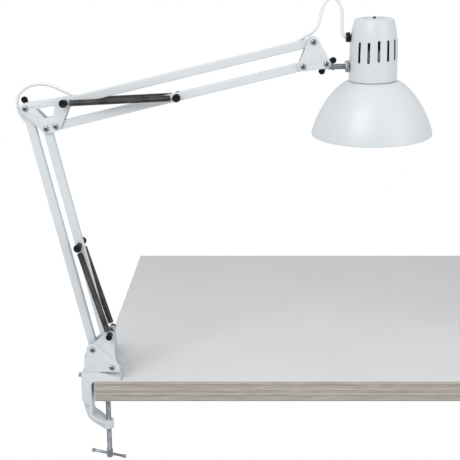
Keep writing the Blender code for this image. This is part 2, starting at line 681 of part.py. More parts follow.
def make_head(stem_pivot):
    """The head's pieces, modelled upright about the stem's axis and turned with their parent."""
    pivot = add_pivot("head_pivot", HEAD_ORIGIN)
    pivot.rotation_euler = (math.radians(HEAD_ROLL), 0.0, 0.0)
    hang(pivot, stem_pivot)
    up = (0, 0, 1)
    centre = (0, 0, 0)
    cutters = []

    neck = turned("neck_cover", neck_profile(), centre, up, "white_paint", 40)
    for i in range(VENTS):
        angle = math.radians(-86 + i * 360 / VENTS)
        if math.cos(angle) < -0.88 or math.sin(angle) > 0.9:
            continue
        drop = 2.2 if math.cos(angle) < 0 else 0.0
        cutters.append((f"vent_{i}", vent_mesh(angle, 9.6 - drop, 39.1 - drop)))
    cutters.append(("stem_hole", turned_mesh([(0, -50), (STEM_R + 0.5, -50), (STEM_R + 0.5, -20), (0, -20)],
                                                    centre, (1, 0, 0), 16)))
    cutters.append(("gland_hole", turned_mesh([(0, -50), (3.6, -50), (3.6, -20), (0, -20)],
                                                     (0, 0, GLAND_Z), (1, 0, 0), 14)))
    cutters.append(("switch_hole", prism_mesh([(-6.6, 28.5), (6.6, 28.5), (6.6, 49.5), (-6.6, 49.5)],
                                                     22.0, 50.0)))
    cutters.append(("cap_hole", prism_mesh(circle((0, 0), 2.4, 14), 60.0, 70.0, axis="Z")))
    for i, middle in enumerate((35.0, 145.0)):
        cutters.append((f"cap_slot_{i}", arc_slot_mesh(14.0, 2.6, middle, 42.0, 60.0, 70.0)))
    for name, mesh in cutters:
        cutter = add_mesh(name, mesh, smooth=False)
        cutter.parent = pivot
        boolean(neck, cutter)

    shade = turned("shade", shade_profile(), centre, up, "white_paint", 48, closed=True)
    socket = turned("lamp_socket",
                    [(0, 22.0), (16.0, 22.0), (19.2, 18.0), (19.2, NECK_BOTTOM - 2.0), (25.0, NECK_BOTTOM - 2.0),
                     (25.0, -26.8), (16.4, -27.5), (16.4, -38.0), (13.9, -38.0), (13.9, 8.0), (0, 8.0)],
                    centre, up, "socket_ceramic", 28)
    bulb = turned("bulb",
                  [(0, 6.0), (5.0, 6.0), (9.0, 3.0), (13.2, 1.0), (13.2, -38.6), (15.6, -41.5),
                   (21.0, -49.0), (27.0, -56.0), (30.0, -65.0), (29.0, -75.0), (23.5, -84.0), (13.0, -90.0),
                   (0, -92.0)], centre, up, "bulb_opal", 32)
    gland = turned("cord_gland",
                   [(0, -31.6), (3.2, -31.6), (3.2, -33.6), (6.4, -33.6), (6.9, -34.2), (6.9, -38.6), (6.0, -39.6),
                    (0, -39.6)], (0, 0, GLAND_Z), (1, 0, 0), "black_plastic", 20)
    rocker_side = [(27.5, -9.6), (34.8, -9.6), (33.4, 0.0), (34.8, 9.6), (27.5, 9.6)]
    rocker_mesh = prism_mesh([(y, z + 39.0) for y, z in rocker_side], -6.2, 6.2, axis="X")
    rocker = add_mesh("switch_rocker", rocker_mesh, "black_plastic", smooth=False)
    fix_origin(rocker, 0, 30.0, 39.0)
    pieces = [neck, shade, socket, bulb, gland, rocker]
    for piece in pieces:
        piece.parent = pivot
    return pieces


def shade_profile():
    outer = [(20.0, NECK_BOTTOM - 0.4), (NECK_R - 0.6, NECK_BOTTOM - 0.4)]
    curve = [(42.9, -25.4), (50.5, -31.2), (58.6, -39.4), (66.1, -49.6), (72.2, -59.6), (76.9, -68.6),
             (80.9, -77.2), (84.6, -86.6), (87.6, -98.4)]
    outer += curve
    inner = [(86.4, -98.4)] + [(r - 1.1, z - 0.5) for r, z in curve[-2::-1]]
    inner += [(NECK_R - 0.9, NECK_BOTTOM - 1.7), (20.0, NECK_BOTTOM - 1.7)]
    return outer + inner


def vent_mesh(angle, low, high):
    """A tall slot with round ends, cut through the neck's wall at this angle."""
    width = 1.9
    outline = []
    for k in range(5):
        turn = math.radians(180 * k / 4)
        outline.append((width * math.cos(turn), high - width + width * math.sin(turn)))
    for k in range(5):
        turn = math.radians(180 + 180 * k / 4)
        outline.append((width * math.cos(turn), low + width + width * math.sin(turn)))
    bm = prism_mesh(outline, 24.0, 44.0)
    bmesh.ops.rotate(bm, cent=(0, 0, 0), matrix=Matrix.Rotation(angle - math.pi / 2, 3, "Z"), verts=bm.verts)
    return bm


def arc_slot_mesh(radius, width, middle, sweep, low, high):
    """A slot bent round the cap's centre."""
    outline = []
    for side, order in ((0.5, range(9)), (-0.5, range(8, -1, -1))):
        for k in order:
            turn = math.radians(middle - sweep / 2 + sweep * k / 8)
            r = radius + side * width
            outline.append((r * math.cos(turn), r * math.sin(turn)))
    return prism_mesh(outline, low, high, axis="Z")


# Cords


def make_cords():
    elbow = [(-22.1, 0, 436.0), (-27.1, 0, 439.4), (-34.2, 0, 442.8), (-41.6, 0, 446.4), (-51.6, 0, 449.8),
             (-62.9, 0, 451.2), (-75.0, 0, 449.9), (-84.2, 0, 446.2), (-91.0, 0, 441.1), (-96.0, 0, 435.1),
             (-98.2, 0, 428.7), (-98.5, 0, 421.4), (-97.0, 0, 413.8), (-93.8, 0, 406.4), (-89.6, 0, 400.2)]
    head = [(308.8, 0, 515.2), (315.4, 0, 518.4), (324.0, 0, 523.2), (331.0, 0, 530.2), (335.0, 0, 539.9),
            (337.0, 0, 551.0), (340.6, 0, 561.2), (346.0, 0, 568.6), (352.6, 0, 571.2), (359.1, 0, 568.6),
            (364.1, 0, 561.4), (366.8, 0, 551.0), (367.1, 0, 539.9), (366.8, -1.4, 530.4),
            (367.6, -3, 522.8), (369.7, -4.2, 518.8)]
    lead = [(-7.0, 38.9, 24.5), (-7.2, 42.7, 24.3), (-9.2, 47.6, 21.9), (-13.2, 52.8, 16.9), (-18.4, 58.8, 10.8),
            (-22.8, 65.8, 5.9), (-25.2, 73.6, 3.1), (-26.0, 82.0, 2.6)]
    return [cord("elbow_cord", elbow), cord("head_cord", head), cord("mains_lead", lead)]


def make_hank():
    """The stored length of the cord, folded into a hank on the table behind the lamp, and its plug."""
    ray = Vector((-math.sin(HANK_TURN), math.cos(HANK_TURN)))
    side = Vector((ray.y, -ray.x))
    outline = []
    for end, first in ((1, 0), (-1, 180)):
        for k in range(13):
            turn = math.radians(first + 15 * k)
            outline.append(HANK_CENTRE + ray * (end * HANK_STRAIGHT / 2)
                           + (side * math.cos(turn) + ray * math.sin(turn)) * HANK_HALF_WIDTH)
    hank = add_mesh("mains_hank", prism_mesh(outline, 0.0, HANK_HEIGHT, axis="Z"), "white_cord")
    back = HANK_CENTRE - ray * 36.0 + side * 1.0
    low = HANK_HEIGHT + GAP
    body = [(-6.0, 0.0), (6.0, 0.0), (9.0, 8.0), (17.0, 16.0), (17.6, 20.0), (17.6, 33.0), (-17.6, 33.0),
            (-17.6, 20.0), (-17.0, 16.0), (-9.0, 8.0)]
    plug = add_mesh("mains_plug",
                    prism_mesh([back + side * a + ray * b for a, b in body], low, low + 13.6, axis="Z"), "white_cord")
    for label, offset in (("left", -9.5), ("right", 9.5)):
        foot = back + side * offset + ray * 30.0
        tip = foot + ray * 22.0
        prong = rod(f"plug_pin_{label}", (*foot, low + 6.8), (*tip, low + 6.8), 2.0, segments=12)
        boolean(plug, prong, "UNION")
    return [hank, plug]


clear_scene()
make_clamp()
make_clamp_screw()
make_base()
make_lower_arm()
make_elbow()
make_upper_arm()
make_springs()
make_head_bracket()
make_head(make_stem())
make_cords()
make_hank()
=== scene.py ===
"""Looks for the swing arm desk lamp: fine surfaces, springs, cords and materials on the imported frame.

Shapes are made in millimetres, in the frame's own axes: +X towards the head, +Y towards the rear, +Z up.
Points written (x, z) lie in the plane of the arms, at y = 0.
"""

import json
import math

import bmesh
import bpy
from mathutils import Matrix, Vector
from mathutils.geometry import tessellate_polygon

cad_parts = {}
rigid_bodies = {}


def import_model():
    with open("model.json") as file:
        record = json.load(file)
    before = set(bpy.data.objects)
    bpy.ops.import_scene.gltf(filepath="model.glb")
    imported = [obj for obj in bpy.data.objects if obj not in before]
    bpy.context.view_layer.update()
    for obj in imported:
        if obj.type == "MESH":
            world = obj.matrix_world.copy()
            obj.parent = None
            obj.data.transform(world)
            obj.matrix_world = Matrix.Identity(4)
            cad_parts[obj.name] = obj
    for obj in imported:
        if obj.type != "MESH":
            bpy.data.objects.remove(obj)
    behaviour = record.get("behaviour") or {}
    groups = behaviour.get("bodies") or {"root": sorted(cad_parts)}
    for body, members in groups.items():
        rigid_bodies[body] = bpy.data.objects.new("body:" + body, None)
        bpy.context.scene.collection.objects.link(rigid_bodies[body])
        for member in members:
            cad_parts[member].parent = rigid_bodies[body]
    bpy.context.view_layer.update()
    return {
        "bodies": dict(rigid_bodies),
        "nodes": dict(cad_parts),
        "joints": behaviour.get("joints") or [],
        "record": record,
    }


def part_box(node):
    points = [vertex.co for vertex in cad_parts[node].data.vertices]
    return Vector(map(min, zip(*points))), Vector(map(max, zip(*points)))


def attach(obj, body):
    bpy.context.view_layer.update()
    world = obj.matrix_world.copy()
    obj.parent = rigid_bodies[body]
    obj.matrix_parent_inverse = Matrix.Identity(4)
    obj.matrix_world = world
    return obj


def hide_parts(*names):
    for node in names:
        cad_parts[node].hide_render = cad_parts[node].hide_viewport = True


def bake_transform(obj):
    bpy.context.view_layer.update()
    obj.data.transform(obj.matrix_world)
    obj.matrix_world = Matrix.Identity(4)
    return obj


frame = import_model()

MM = 0.001

# Camera
CAMERA_AT = (0.2086, -1.305, 0.5512)
CAMERA_PITCH = 13.6  # degrees below level
CAMERA_LENS = 70.4

# Table that the clamp grips; it isn't part of the lamp
TABLE_THICKNESS = 33.0
TABLE_SIZE = (1250.0, 735.0)
TABLE_FRONT = -16.0
PLY_SCALE = 420.0
PLY_CONTRAST = 0.6

# Light
WORLD_LIGHT = 0.75
FRONT_SHARE = 0.6
LIGHT_TARGET = (0.15, 0.0, 0.3)
SOFTBOXES = (
    ("key", (-0.9, -1.9, 1.9), (1.6, 1.6), 34.0),
    ("fill", (1.9, -1.6, 0.9), (1.4, 1.8), 12.0),
)

# Pieces, by their distance from the plane of the arms
TUBE = 12.0
TUBE_WALL = 1.0
TUBE_END = 5.5
TUBE_BASE_END = 3.6
TUBE_CHAMFER = 3.0
PLATE = 1.5
ARM_PLATE_IN = 8.0
POST_IN = 11.4
YOKE_IN = 13.2
SPRING_Y = 20.0
SPOOL_END = 26.0
POST_SPOOL_SCALE = 0.82
GAP = 0.3
SIDES = ((-1, "front"), (1, "rear"))
UP = (0, 0, 1)
HOLE_R = 2.8
BUSH_R = 4.7

# Pan-head screws
HEAD_HEIGHT = 2.6
RECESS_DEPTH = 1.5
RECESS_REACH = 3.2

# Springs
SPRING_R = 4.6
SPRING_WIRE_R = 0.62
SPRING_END_GAP = 8.5
HOOK_R = 3.6

# Clamp
BAR_YAW = -22.0
BAR_SHIFT = -1.7
BAR_HALF = 30.8
BAR_R = 2.1
BAR_KNOB_R = 3.2
BOSS_R = 7.8
LOCK_Z = 4.4
CLAMP_WEB = ((-26.0, -33.0), (-20.0, -33.0), (-8.9, -39.5), (-8.9, -56.0), (-6.4, -60.6), (13.0, -74.2),
             (13.0, -92.0), (-26.0, -92.0))

# Wing nuts, by the angles of their wings
ELBOW_WINGS = (118.0, 20.0)
HEAD_WINGS = (20.0, 248.0)

# Head, in its own upright frame about the stem's axis
HEAD_ROLL = 6.0
STEM_REACH = 67.1
STEM_DROP = 4.3
STEM_SLOPE = 1.5
NECK_R = 34.3
NECK_BOTTOM = -19.8
WALL = 1.2
VENTS = 15
GLAND_Z = 41.0

# Cord
CORD_R = 2.4
HANK_TURN = math.radians(8.9)
HANK_STRAIGHT = 34.0
HANK_FOLDS = (14.5, 19.4)
HANK_LAYERS = 4
LAYER_STEP = 4.86
HANK_STEPS = 40


def joint_point(name):
    """A joint's place in the plane of the arms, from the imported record."""
    for joint in frame["joints"]:
        if joint["name"] == name:
            x, _, z = joint["pos_m"]
            return Vector((x, z)) / MM
    raise KeyError(name)


def node_middle(name):
    low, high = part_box(name)
    middle = (low + high) / 2
    return Vector((middle.x, middle.z)) / MM


BASE_UPPER = joint_point("lower_arm_tilt")
BASE_LOWER = joint_point("lower_front_tilt")
ELBOW_REAR = joint_point("elbow_carry")
ELBOW_SPRING = joint_point("upper_arm_tilt")
ELBOW_ARM = joint_point("upper_bottom_tilt")
HEAD_UPPER = joint_point("head_carry")
HEAD_TILT = joint_point("head_tilt")
ELBOW_FRONT = ELBOW_REAR + BASE_LOWER - BASE_UPPER
HEAD_LOWER = ELBOW_ARM + HEAD_UPPER - ELBOW_SPRING
SPRING_POST = node_middle("post_bolt_front")
LOWER_SPRING = node_middle("lower_spring_pin")
UPPER_SPRING = node_middle("upper_spring_pin")
HEAD_X = HEAD_TILT.x + STEM_REACH
STEM_Z = HEAD_TILT.y - STEM_DROP
TILT_POINT = Matrix.Translation((HEAD_TILT.x, 0.0, HEAD_TILT.y))
STEM_MATRIX = TILT_POINT @ Matrix.Rotation(math.radians(-STEM_SLOPE), 4, "Y") @ TILT_POINT.inverted()
HEAD_MATRIX = (STEM_MATRIX @ Matrix.Translation((HEAD_X, 0.0, STEM_Z))
               @ Matrix.Rotation(math.radians(HEAD_ROLL), 4, "X"))
SWIVEL_X = -1.0
SCREW_X = 18.0


# Materials


def add_node(tree, kind, inputs, output=0):
    """Add a shader node whose inputs are values or other nodes' outputs, and return one of its outputs."""
    node = tree.nodes.new("ShaderNode" + kind)
    for name, value in inputs.items():
        if isinstance(value, bpy.types.NodeSocket):
            tree.links.new(value, node.inputs[name])
        else:
            node.inputs[name].default_value = value
    return node.outputs[output]


def noise(tree, scale, detail=2.0, stretch=None):
    """A noise pattern fixed to the piece, with scale in features per metre."""
    place_on_piece = add_node(tree, "TexCoord", {}, "Object")
    if stretch:
        place_on_piece = add_node(tree, "Mapping", {"Vector": place_on_piece, "Scale": stretch})
    return add_node(tree, "TexNoise", {"Vector": place_on_piece, "Scale": scale, "Detail": detail})


def start_material(name, settings):
    """A new material with these values on its shader."""
    material = bpy.data.materials.new(name)
    material.use_nodes = True
    tree = material.node_tree
    shader = tree.nodes["Principled BSDF"]
    for socket, value in settings.items():
        shader.inputs[socket].default_value = value
    return material, tree, shader


def tint(tree, source, dark, light, shader):
    """Drive the base colour from a pattern, between two close colours."""
    ramp = tree.nodes.new("ShaderNodeValToRGB")
    for element, position, colour in zip(ramp.color_ramp.elements, (0.35, 0.65), (dark, light)):
        element.position = position
        element.color = (*colour, 1.0)
    tree.links.new(source, ramp.inputs["Fac"])
    tree.links.new(ramp.outputs["Color"], shader.inputs["Base Color"])


def vary(tree, source, low, high, shader):
    """Drive the roughness from a pattern, spread between low and high."""
    limits = {"From Min": 0.3, "From Max": 0.7, "To Min": low, "To Max": high}
    tree.links.new(add_node(tree, "MapRange", {"Value": source, **limits}), shader.inputs["Roughness"])


def bump(tree, source, height, strength, shader):
    """Give the surface a relief of this height in millimetres, from a pattern."""
    relief = {"Height": source, "Strength": strength, "Distance": height * MM}
    tree.links.new(add_node(tree, "Bump", relief), shader.inputs["Normal"])


def surface(name, tones, gloss=None, grain=None, settings=None):
    """A material with mottled tones, a varying gloss and a fine relief.

    tones starts with two colours, gloss with two roughnesses, and grain with a height and a strength. Each
    ends with its own noise's scale, and where they aren't the usual ones, its detail and stretch.
    """
    material, tree, shader = start_material(name, settings or {})
    dark, light, *pattern = tones
    tint(tree, noise(tree, *pattern), dark, light, shader)
    if gloss:
        low, high, *pattern = gloss
        vary(tree, noise(tree, *pattern), low, high, shader)
    if grain:
        height, strength, *pattern = grain
        bump(tree, noise(tree, *pattern), height, strength, shader)
    return material


def painted_sheet():
    """Satin white powder coat: a faint orange peel and slow changes of gloss."""
    tones = ((0.635, 0.67, 0.69), (0.66, 0.695, 0.715), 12.0)
    coat = {"Coat Weight": 0.12, "Coat Roughness": 0.25}
    return surface("white_powder_coat", tones, (0.32, 0.42, 45.0), (0.02, 0.3, 900.0, 3.0), coat)


def painted_casting():
    """The same paint on a die casting, whose skin is a little coarser."""
    tones = ((0.615, 0.65, 0.67), (0.65, 0.685, 0.705), 25.0)
    return surface("white_painted_casting", tones, (0.38, 0.52, 60.0), (0.06, 0.4, 420.0, 4.0))


def plated_steel():
    """Zinc plate: cool grey with cloudy gloss and fine handling marks."""
    tones = ((0.34, 0.36, 0.38), (0.47, 0.485, 0.50), 120.0)
    grain = (0.01, 0.25, 1500.0, 2.0, (1.0, 1.0, 0.15))
    return surface("zinc_plated_steel", tones, (0.18, 0.38, 260.0, 4.0), grain, {"Metallic": 1.0})


def screw_steel():
    """Plain machined steel rod, greyer than the plated screws."""
    tones = ((0.25, 0.275, 0.30), (0.35, 0.38, 0.41), 80.0)
    gloss = (0.22, 0.4, 150.0, 3.0, (1.0, 1.0, 0.2))
    grain = (0.01, 0.2, 1200.0, 2.0, (0.1, 0.1, 1.0))
    return surface("turned_steel", tones, gloss, grain, {"Metallic": 1.0})


def black_moulding():
    """Moulded black plastic with a fine grain."""
    tones = ((0.004, 0.004, 0.005), (0.007, 0.007, 0.008), 90.0)
    dull = {"Specular IOR Level": 0.25}
    return surface("black_moulding", tones, (0.3, 0.46, 200.0), (0.02, 0.3, 1400.0, 3.0), dull)


def spring_steel():
    """Blackened spring wire, with a dull metal gleam on each turn."""
    tones = ((0.065, 0.064, 0.064), (0.12, 0.118, 0.115), 60.0)
    return surface("blackened_wire", tones, (0.3, 0.46, 300.0, 3.0), (0.008, 0.3, 2500.0), {"Metallic": 0.85})


def cord_sheath():
    """Soft white PVC, slightly translucent."""
    tones = ((0.745, 0.76, 0.775), (0.78, 0.79, 0.80), 40.0)
    depth = {"Subsurface Weight": 0.08, "Subsurface Scale": 0.002}
    return surface("white_cord_sheath", tones, (0.4, 0.52, 180.0), (0.02, 0.2, 700.0), depth)


def socket_ceramic():
    """Glazed off-white lampholder body."""
    tones = ((0.70, 0.68, 0.63), (0.74, 0.72, 0.67), 70.0)
    return surface("lampholder_glaze", tones, (0.15, 0.28, 120.0), (0.03, 0.2, 260.0), {"Coat Weight": 0.4})


def opal_glass():
    """Opal bulb glass: smooth skin over a milky body."""
    milky = {"Roughness": 0.18, "Subsurface Weight": 0.3, "Subsurface Scale": 0.01, "Coat Weight": 0.5,
             "Coat Roughness": 0.05}
    return surface("opal_glass", ((0.85, 0.85, 0.83), (0.88, 0.88, 0.86), 30.0), settings=milky)


def shade_lining():
    """The shade's inside: the same white paint, a little warmer and glossier."""
    tones = ((0.79, 0.79, 0.78), (0.82, 0.82, 0.81), 15.0)
    return surface("white_lining", tones, (0.25, 0.36, 40.0), (0.02, 0.25, 800.0, 3.0))


def painted_shade_lining():
    """Near-black painted shade inside the neck and in the screws' recesses: it stands in for the shade that
    falls there, not for a finish.
    """
    tones = ((0.04, 0.042, 0.045), (0.065, 0.067, 0.07), 30.0)
    return surface("painted_shade_dark", tones, (0.5, 0.7, 60.0), (0.02, 0.3, 700.0))


SHEET = painted_sheet()
CASTING = painted_casting()
ZINC = plated_steel()
ROD = screw_steel()
BLACK = black_moulding()
WIRE = spring_steel()
SHEATH = cord_sheath()
CERAMIC = socket_ceramic()
OPAL = opal_glass()
LINING = shade_lining()
PAINTED_SHADE = painted_shade_lining()


# Shapes


def along(angle, length=1.0):
    return Vector((math.cos(math.radians(angle)), math.sin(math.radians(angle)))) * length


def at(point, y=0.0):
    return Vector((point.x, y, point.y))


def finish_mesh(name, bm, sharp=32.0):
    """A smooth-shaded object from a bmesh in millimetres."""
    bmesh.ops.recalc_face_normals(bm, faces=bm.faces)
    bmesh.ops.scale(bm, vec=(MM, MM, MM), verts=bm.verts)
    mesh = bpy.data.meshes.new(name)
    bm.to_mesh(mesh)
    bm.free()
    mesh.shade_smooth()
    mesh.set_sharp_from_angle(angle=math.radians(sharp))
    obj = bpy.data.objects.new(name, mesh)
    bpy.context.scene.collection.objects.link(obj)
    return obj


def node_body(node):
    """The body that a CAD node belongs to."""
    for body, nodes in frame["record"]["behaviour"]["bodies"].items():
        if node in nodes:
            return body
    raise KeyError(node)


def place(obj, material, node=None, slot_of=None, body=None):
    """Give a finished piece its material and its body. It stands for the node, or is a detail of slot_of."""
    obj.data.materials.clear()
    obj.data.materials.append(material)
    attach(obj, body or node_body(node or slot_of))
    if node:
        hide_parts(node)
    return obj


def bake(obj, sharp=32.0):
    """Replace an object's mesh with what its modifiers make of it."""
    graph = bpy.context.evaluated_depsgraph_get()
    mesh = bpy.data.meshes.new_from_object(obj.evaluated_get(graph))
    obj.modifiers.clear()
    obj.data = mesh
    mesh.shade_smooth()
    mesh.set_sharp_from_angle(angle=math.radians(sharp))
    return obj


def combine(obj, cutters, operation="DIFFERENCE"):
    """Apply Booleans with these objects, which are then removed."""
    for cutter in cutters:
        modifier = obj.modifiers.new("shape", "BOOLEAN")
        modifier.object = cutter
        modifier.operation = operation
        modifier.solver = "EXACT"
    bpy.context.view_layer.update()
    bake(obj)
    for cutter in cutters:
        bpy.data.objects.remove(cutter, do_unlink=True)
    return obj


def soften(obj, width, segments=2, angle=35.0):
    """Round the object's hard edges."""
    modifier = obj.modifiers.new("edges", "BEVEL")
    modifier.width = width * MM
    modifier.segments = segments
    modifier.limit_method = "ANGLE"
    modifier.angle_limit = math.radians(angle)
    bpy.context.view_layer.update()
    return bake(obj, 40.0)


def join_rings(bm, rings, caps=True):
    """Faces between each ring of vertices and the next, where a ring may be one point, and over both ends."""
    for first, second in zip(rings, rings[1:]):
        count = max(len(first), len(second))
        for i in range(count):
            j = (i + 1) % count
            corners = [first[i % len(first)], first[j % len(first)], second[j % len(second)],
                       second[i % len(second)]]
            bm.faces.new(list(dict.fromkeys(corners)))
    if caps:
        for ring in (rings[0], rings[-1]):
            if len(ring) > 1:
                bm.faces.new(ring)


def add_ring(bm, centre, across, other, radii):
    """A ring of vertices round the centre, one for each radius."""
    ring = []
    for i, radius in enumerate(radii):
        turn = 2 * math.pi * i / len(radii)
        ring.append(bm.verts.new(centre + radius * (across * math.cos(turn) + other * math.sin(turn))))
    return ring


def directions(axis):
    """The axis at unit length, and two more at right angles to it."""
    axis = Vector(axis).normalized()
    across = axis.cross(Vector((0, 0, 1))) if abs(axis.z) < 0.9 else Vector((1, 0, 0))
    across.normalize()
    return axis, across, axis.cross(across)


def prism_mesh(outline, low, high, holes=(), axis="Y"):
    """A plate between low and high along the axis, from an outline with holes in the plane across it."""
    bm = bmesh.new()
    loops = [list(outline)] + [list(hole) for hole in holes]

    def point(p, t):
        if axis == "Y":
            return p[0], t, p[1]
        if axis == "Z":
            return p[0], p[1], t
        return t, p[0], p[1]

    bottoms = [[bm.verts.new(point(p, low)) for p in loop] for loop in loops]
    tops = [[bm.verts.new(point(p, high)) for p in loop] for loop in loops]
    triangles = tessellate_polygon([[Vector((p[0], p[1], 0.0)) for p in loop] for loop in loops])
    flat_bottom = sum(bottoms, [])
    flat_top = sum(tops, [])
    for triangle in triangles:
        bm.faces.new([flat_bottom[i] for i in triangle])
        bm.faces.new([flat_top[i] for i in reversed(triangle)])
    for bottom, top in zip(bottoms, tops):
        join_rings(bm, [bottom, top], caps=False)
    return bm


def circle(centre, radius, count=32, start=0.0):
    return [
        (centre[0] + radius * math.cos(start + 2 * math.pi * i / count),
         centre[1] + radius * math.sin(start + 2 * math.pi * i / count))
        for i in range(count)
    ]


def hull_outline(discs, steps=120):
    """The outline of a band stretched round discs, each (centre, radius)."""
    points = []
    for i in range(steps):
        ray = along(360.0 * i / steps)
        centre, radius = max(discs, key=lambda disc: disc[0].dot(ray) + disc[1])
        point = centre + ray * radius
        if not points or (point - points[-1]).length > 0.3:
            points.append(point)
    if (points[0] - points[-1]).length < 0.3:
        points.pop()
    return points


def rounded(corners, radii, steps=6):
    """A polygon whose corners are eased by one radius, or by one for each corner."""
    corners = [Vector(corner) for corner in corners]
    if isinstance(radii, float):
        radii = [radii] * len(corners)
    points = []
    for i, (corner, radius) in enumerate(zip(corners, radii)):
        after = corners[(i + 1) % len(corners)]
        start = corner + (corners[i - 1] - corner).normalized() * radius
        end = corner + (after - corner).normalized() * radius
        for k in range(steps + 1):
            t = k / steps
            points.append((1 - t) ** 2 * start + 2 * t * (1 - t) * corner + t * t * end)
    return points


def turned(name, profile, centre, axis, segments=40, closed=False, sharp=32.0):
    """A profile of (radius, distance along the axis) turned about an axis through the centre."""
    bm = bmesh.new()
    axis, across, other = directions(axis)
    rings = []
    for radius, distance in profile:
        count = 1 if radius < 1e-6 else segments
        rings.append(add_ring(bm, Vector(centre) + axis * distance, across, other, [radius] * count))
    if closed:
        rings.append(rings[0])
    join_rings(bm, rings, caps=not closed)
    return finish_mesh(name, bm, sharp)


def rod(name, start, end, radius, segments=24):
    length = (Vector(end) - Vector(start)).length
    return turned(name, [(radius, 0), (radius, length)], start, Vector(end) - Vector(start), segments)


def cross_rod(name, point, radius, segments=24):
    """A rod along Y through a point of the arms' plane, long enough to pass through every piece."""
    return rod(name, at(point, -30), at(point, 30), radius, segments)


def smooth_path(points, step):
    """Points about a step apart on a Catmull-Rom curve through the route's own points."""
    points = [Vector(p) for p in points]
    padded = [2 * points[0] - points[1]] + points + [2 * points[-1] - points[-2]]
    fine = []
    for a, b, c, d in zip(padded, padded[1:], padded[2:], padded[3:]):
        for k in range(12):
            t = k / 12
            fine.append(0.5 * (2 * b + (c - a) * t + (2 * a - 5 * b + 4 * c - d) * t * t
                               + (3 * b - a - 3 * c + d) * t ** 3))
    fine.append(points[-1])
    lengths = [0.0]
    for a, b in zip(fine, fine[1:]):
        lengths.append(lengths[-1] + (b - a).length)
    count = max(4, round(lengths[-1] / step))
    result = []
    k = 0
    for i in range(count + 1):
        target = lengths[-1] * i / count
        while k < len(fine) - 2 and lengths[k + 1] < target:
            k += 1
        share = (target - lengths[k]) / (lengths[k + 1] - lengths[k])
        result.append(fine[k].lerp(fine[k + 1], share))
    return result


def tube_along(name, path, radius, sides=12, sharp=60.0):
    """A round tube with flat ends that follows the path, kept from twisting."""
    bm = bmesh.new()
    tangents = []
    for i in range(len(path)):
        tangent = path[min(i + 1, len(path) - 1)] - path[max(i - 1, 0)]
        tangents.append(tangent.normalized())
    across = tangents[0].orthogonal().normalized()
    rings = []
    for point, tangent in zip(path, tangents):
        across = (across - tangent * across.dot(tangent)).normalized()
        rings.append(add_ring(bm, point, across, tangent.cross(across), [radius] * sides))
    join_rings(bm, rings)
    return finish_mesh(name, bm, sharp)


def add_camera():
    data = bpy.data.cameras.new("camera")
    data.lens = CAMERA_LENS
    data.sensor_width = 36.0
    camera = bpy.data.objects.new("camera", data)
    camera.location = CAMERA_AT
    camera.rotation_euler = (math.radians(90.0 - CAMERA_PITCH), 0.0, 0.0)
    bpy.context.scene.collection.objects.link(camera)
    bpy.context.scene.camera = camera


# Cords


def cord_piece(name, path, nodes):
    """A stretch of cord along a path in millimetres, in place of the hidden nodes."""
    piece = tube_along(name, path, CORD_R)
    piece.data.materials.append(SHEATH)
    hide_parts(*nodes)
    return piece


def split_path(path, *shares):
    """Cut a path at shares of its point count; neighbours share the point they meet at."""
    cuts = [0] + [round(share * (len(path) - 1)) for share in shares] + [len(path) - 1]
    return [path[a:b + 1] for a, b in zip(cuts, cuts[1:])]


def bend_between(piece):
    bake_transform(piece)


def add_elbow_cord():
    """The loop that carries the cord round the elbow, from the top tube into the rear lower tube."""
    route = [(-15.0, 0, 433.4), (-19.2, 0, 435.2), (-27.1, 0, 439.4), (-34.2, 0, 442.8), (-41.6, 0, 446.4),
             (-51.6, 0, 449.8), (-62.9, 0, 451.2), (-75.0, 0, 449.9), (-84.2, 0, 446.2), (-91.0, 0, 441.1),
             (-96.0, 0, 435.1), (-98.2, 0, 428.7), (-98.5, 0, 421.4), (-97.0, 0, 413.8), (-93.8, 0, 406.4),
             (-89.6, 0, 400.2), (-86.0, 0, 396.0)]
    upper, lower = split_path(smooth_path(route, 2.0), 0.45)
    first = cord_piece("elbow_cord_upper", upper, ["elbow_cord"])
    bend_between(first)
    second = cord_piece("elbow_cord_lower", lower, ["elbow_cord"])
    bend_between(second)


def add_head_cord():
    """The loop from the top tube up and over into the gland on the neck."""
    route = [(303.8, 0, 510.4), (308.8, 0, 514.0), (315.4, 0, 518.4), (324.0, 0, 523.2), (331.0, 0, 530.2),
             (335.0, 0, 539.9), (337.0, 0, 551.0), (340.6, 0, 561.2), (346.0, 0, 568.6), (352.5, 0, 571.2),
             (358.9, 0, 568.6), (364.0, 0, 561.4), (366.6, 0, 551.0), (366.9, 0, 539.9), (366.6, -1.4, 530.4),
             (367.5, -3.0, 522.8), (370.0, -4.2, 518.6), (373.6, -4.3, 517.1)]
    first, second, third = split_path(smooth_path(route, 2.0), 0.22, 0.56)
    bodies = ("upper_top", "head_bracket", "stem", "head")
    for label, path, near, far in zip(("a", "b", "c"), (first, second, third), bodies, bodies[1:]):
        piece = cord_piece(f"head_cord_{label}", path, ["head_cord"])
        bend_between(piece)


def hank_axes():
    low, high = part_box("mains_hank")
    centre = Vector(((low.x + high.x) / 2, (low.y + high.y) / 2)) / MM
    ray = Vector((-math.sin(HANK_TURN), math.cos(HANK_TURN)))
    side = Vector((ray.y, -ray.x))
    return centre, ray, side


def racetrack(share, radius):
    """A point along and across the hank, this share of the way round two runs and two folds."""
    phase, t = divmod(4 * share, 1.0)
    way = 1 if phase < 2 else -1
    if phase % 2 == 0:
        return way * (t - 0.5) * HANK_STRAIGHT, -way * radius
    turn = math.pi * t
    return way * (HANK_STRAIGHT / 2 + radius * math.sin(turn)), -way * radius * math.cos(turn)


def hank_level(turn):
    """The fold's radius and the cord's height in this turn."""
    layer, place_in_layer = divmod(turn, len(HANK_FOLDS))
    folds = HANK_FOLDS[::-1] if layer % 2 == 0 else HANK_FOLDS
    return folds[place_in_layer], CORD_R + 0.06 + layer * LAYER_STEP


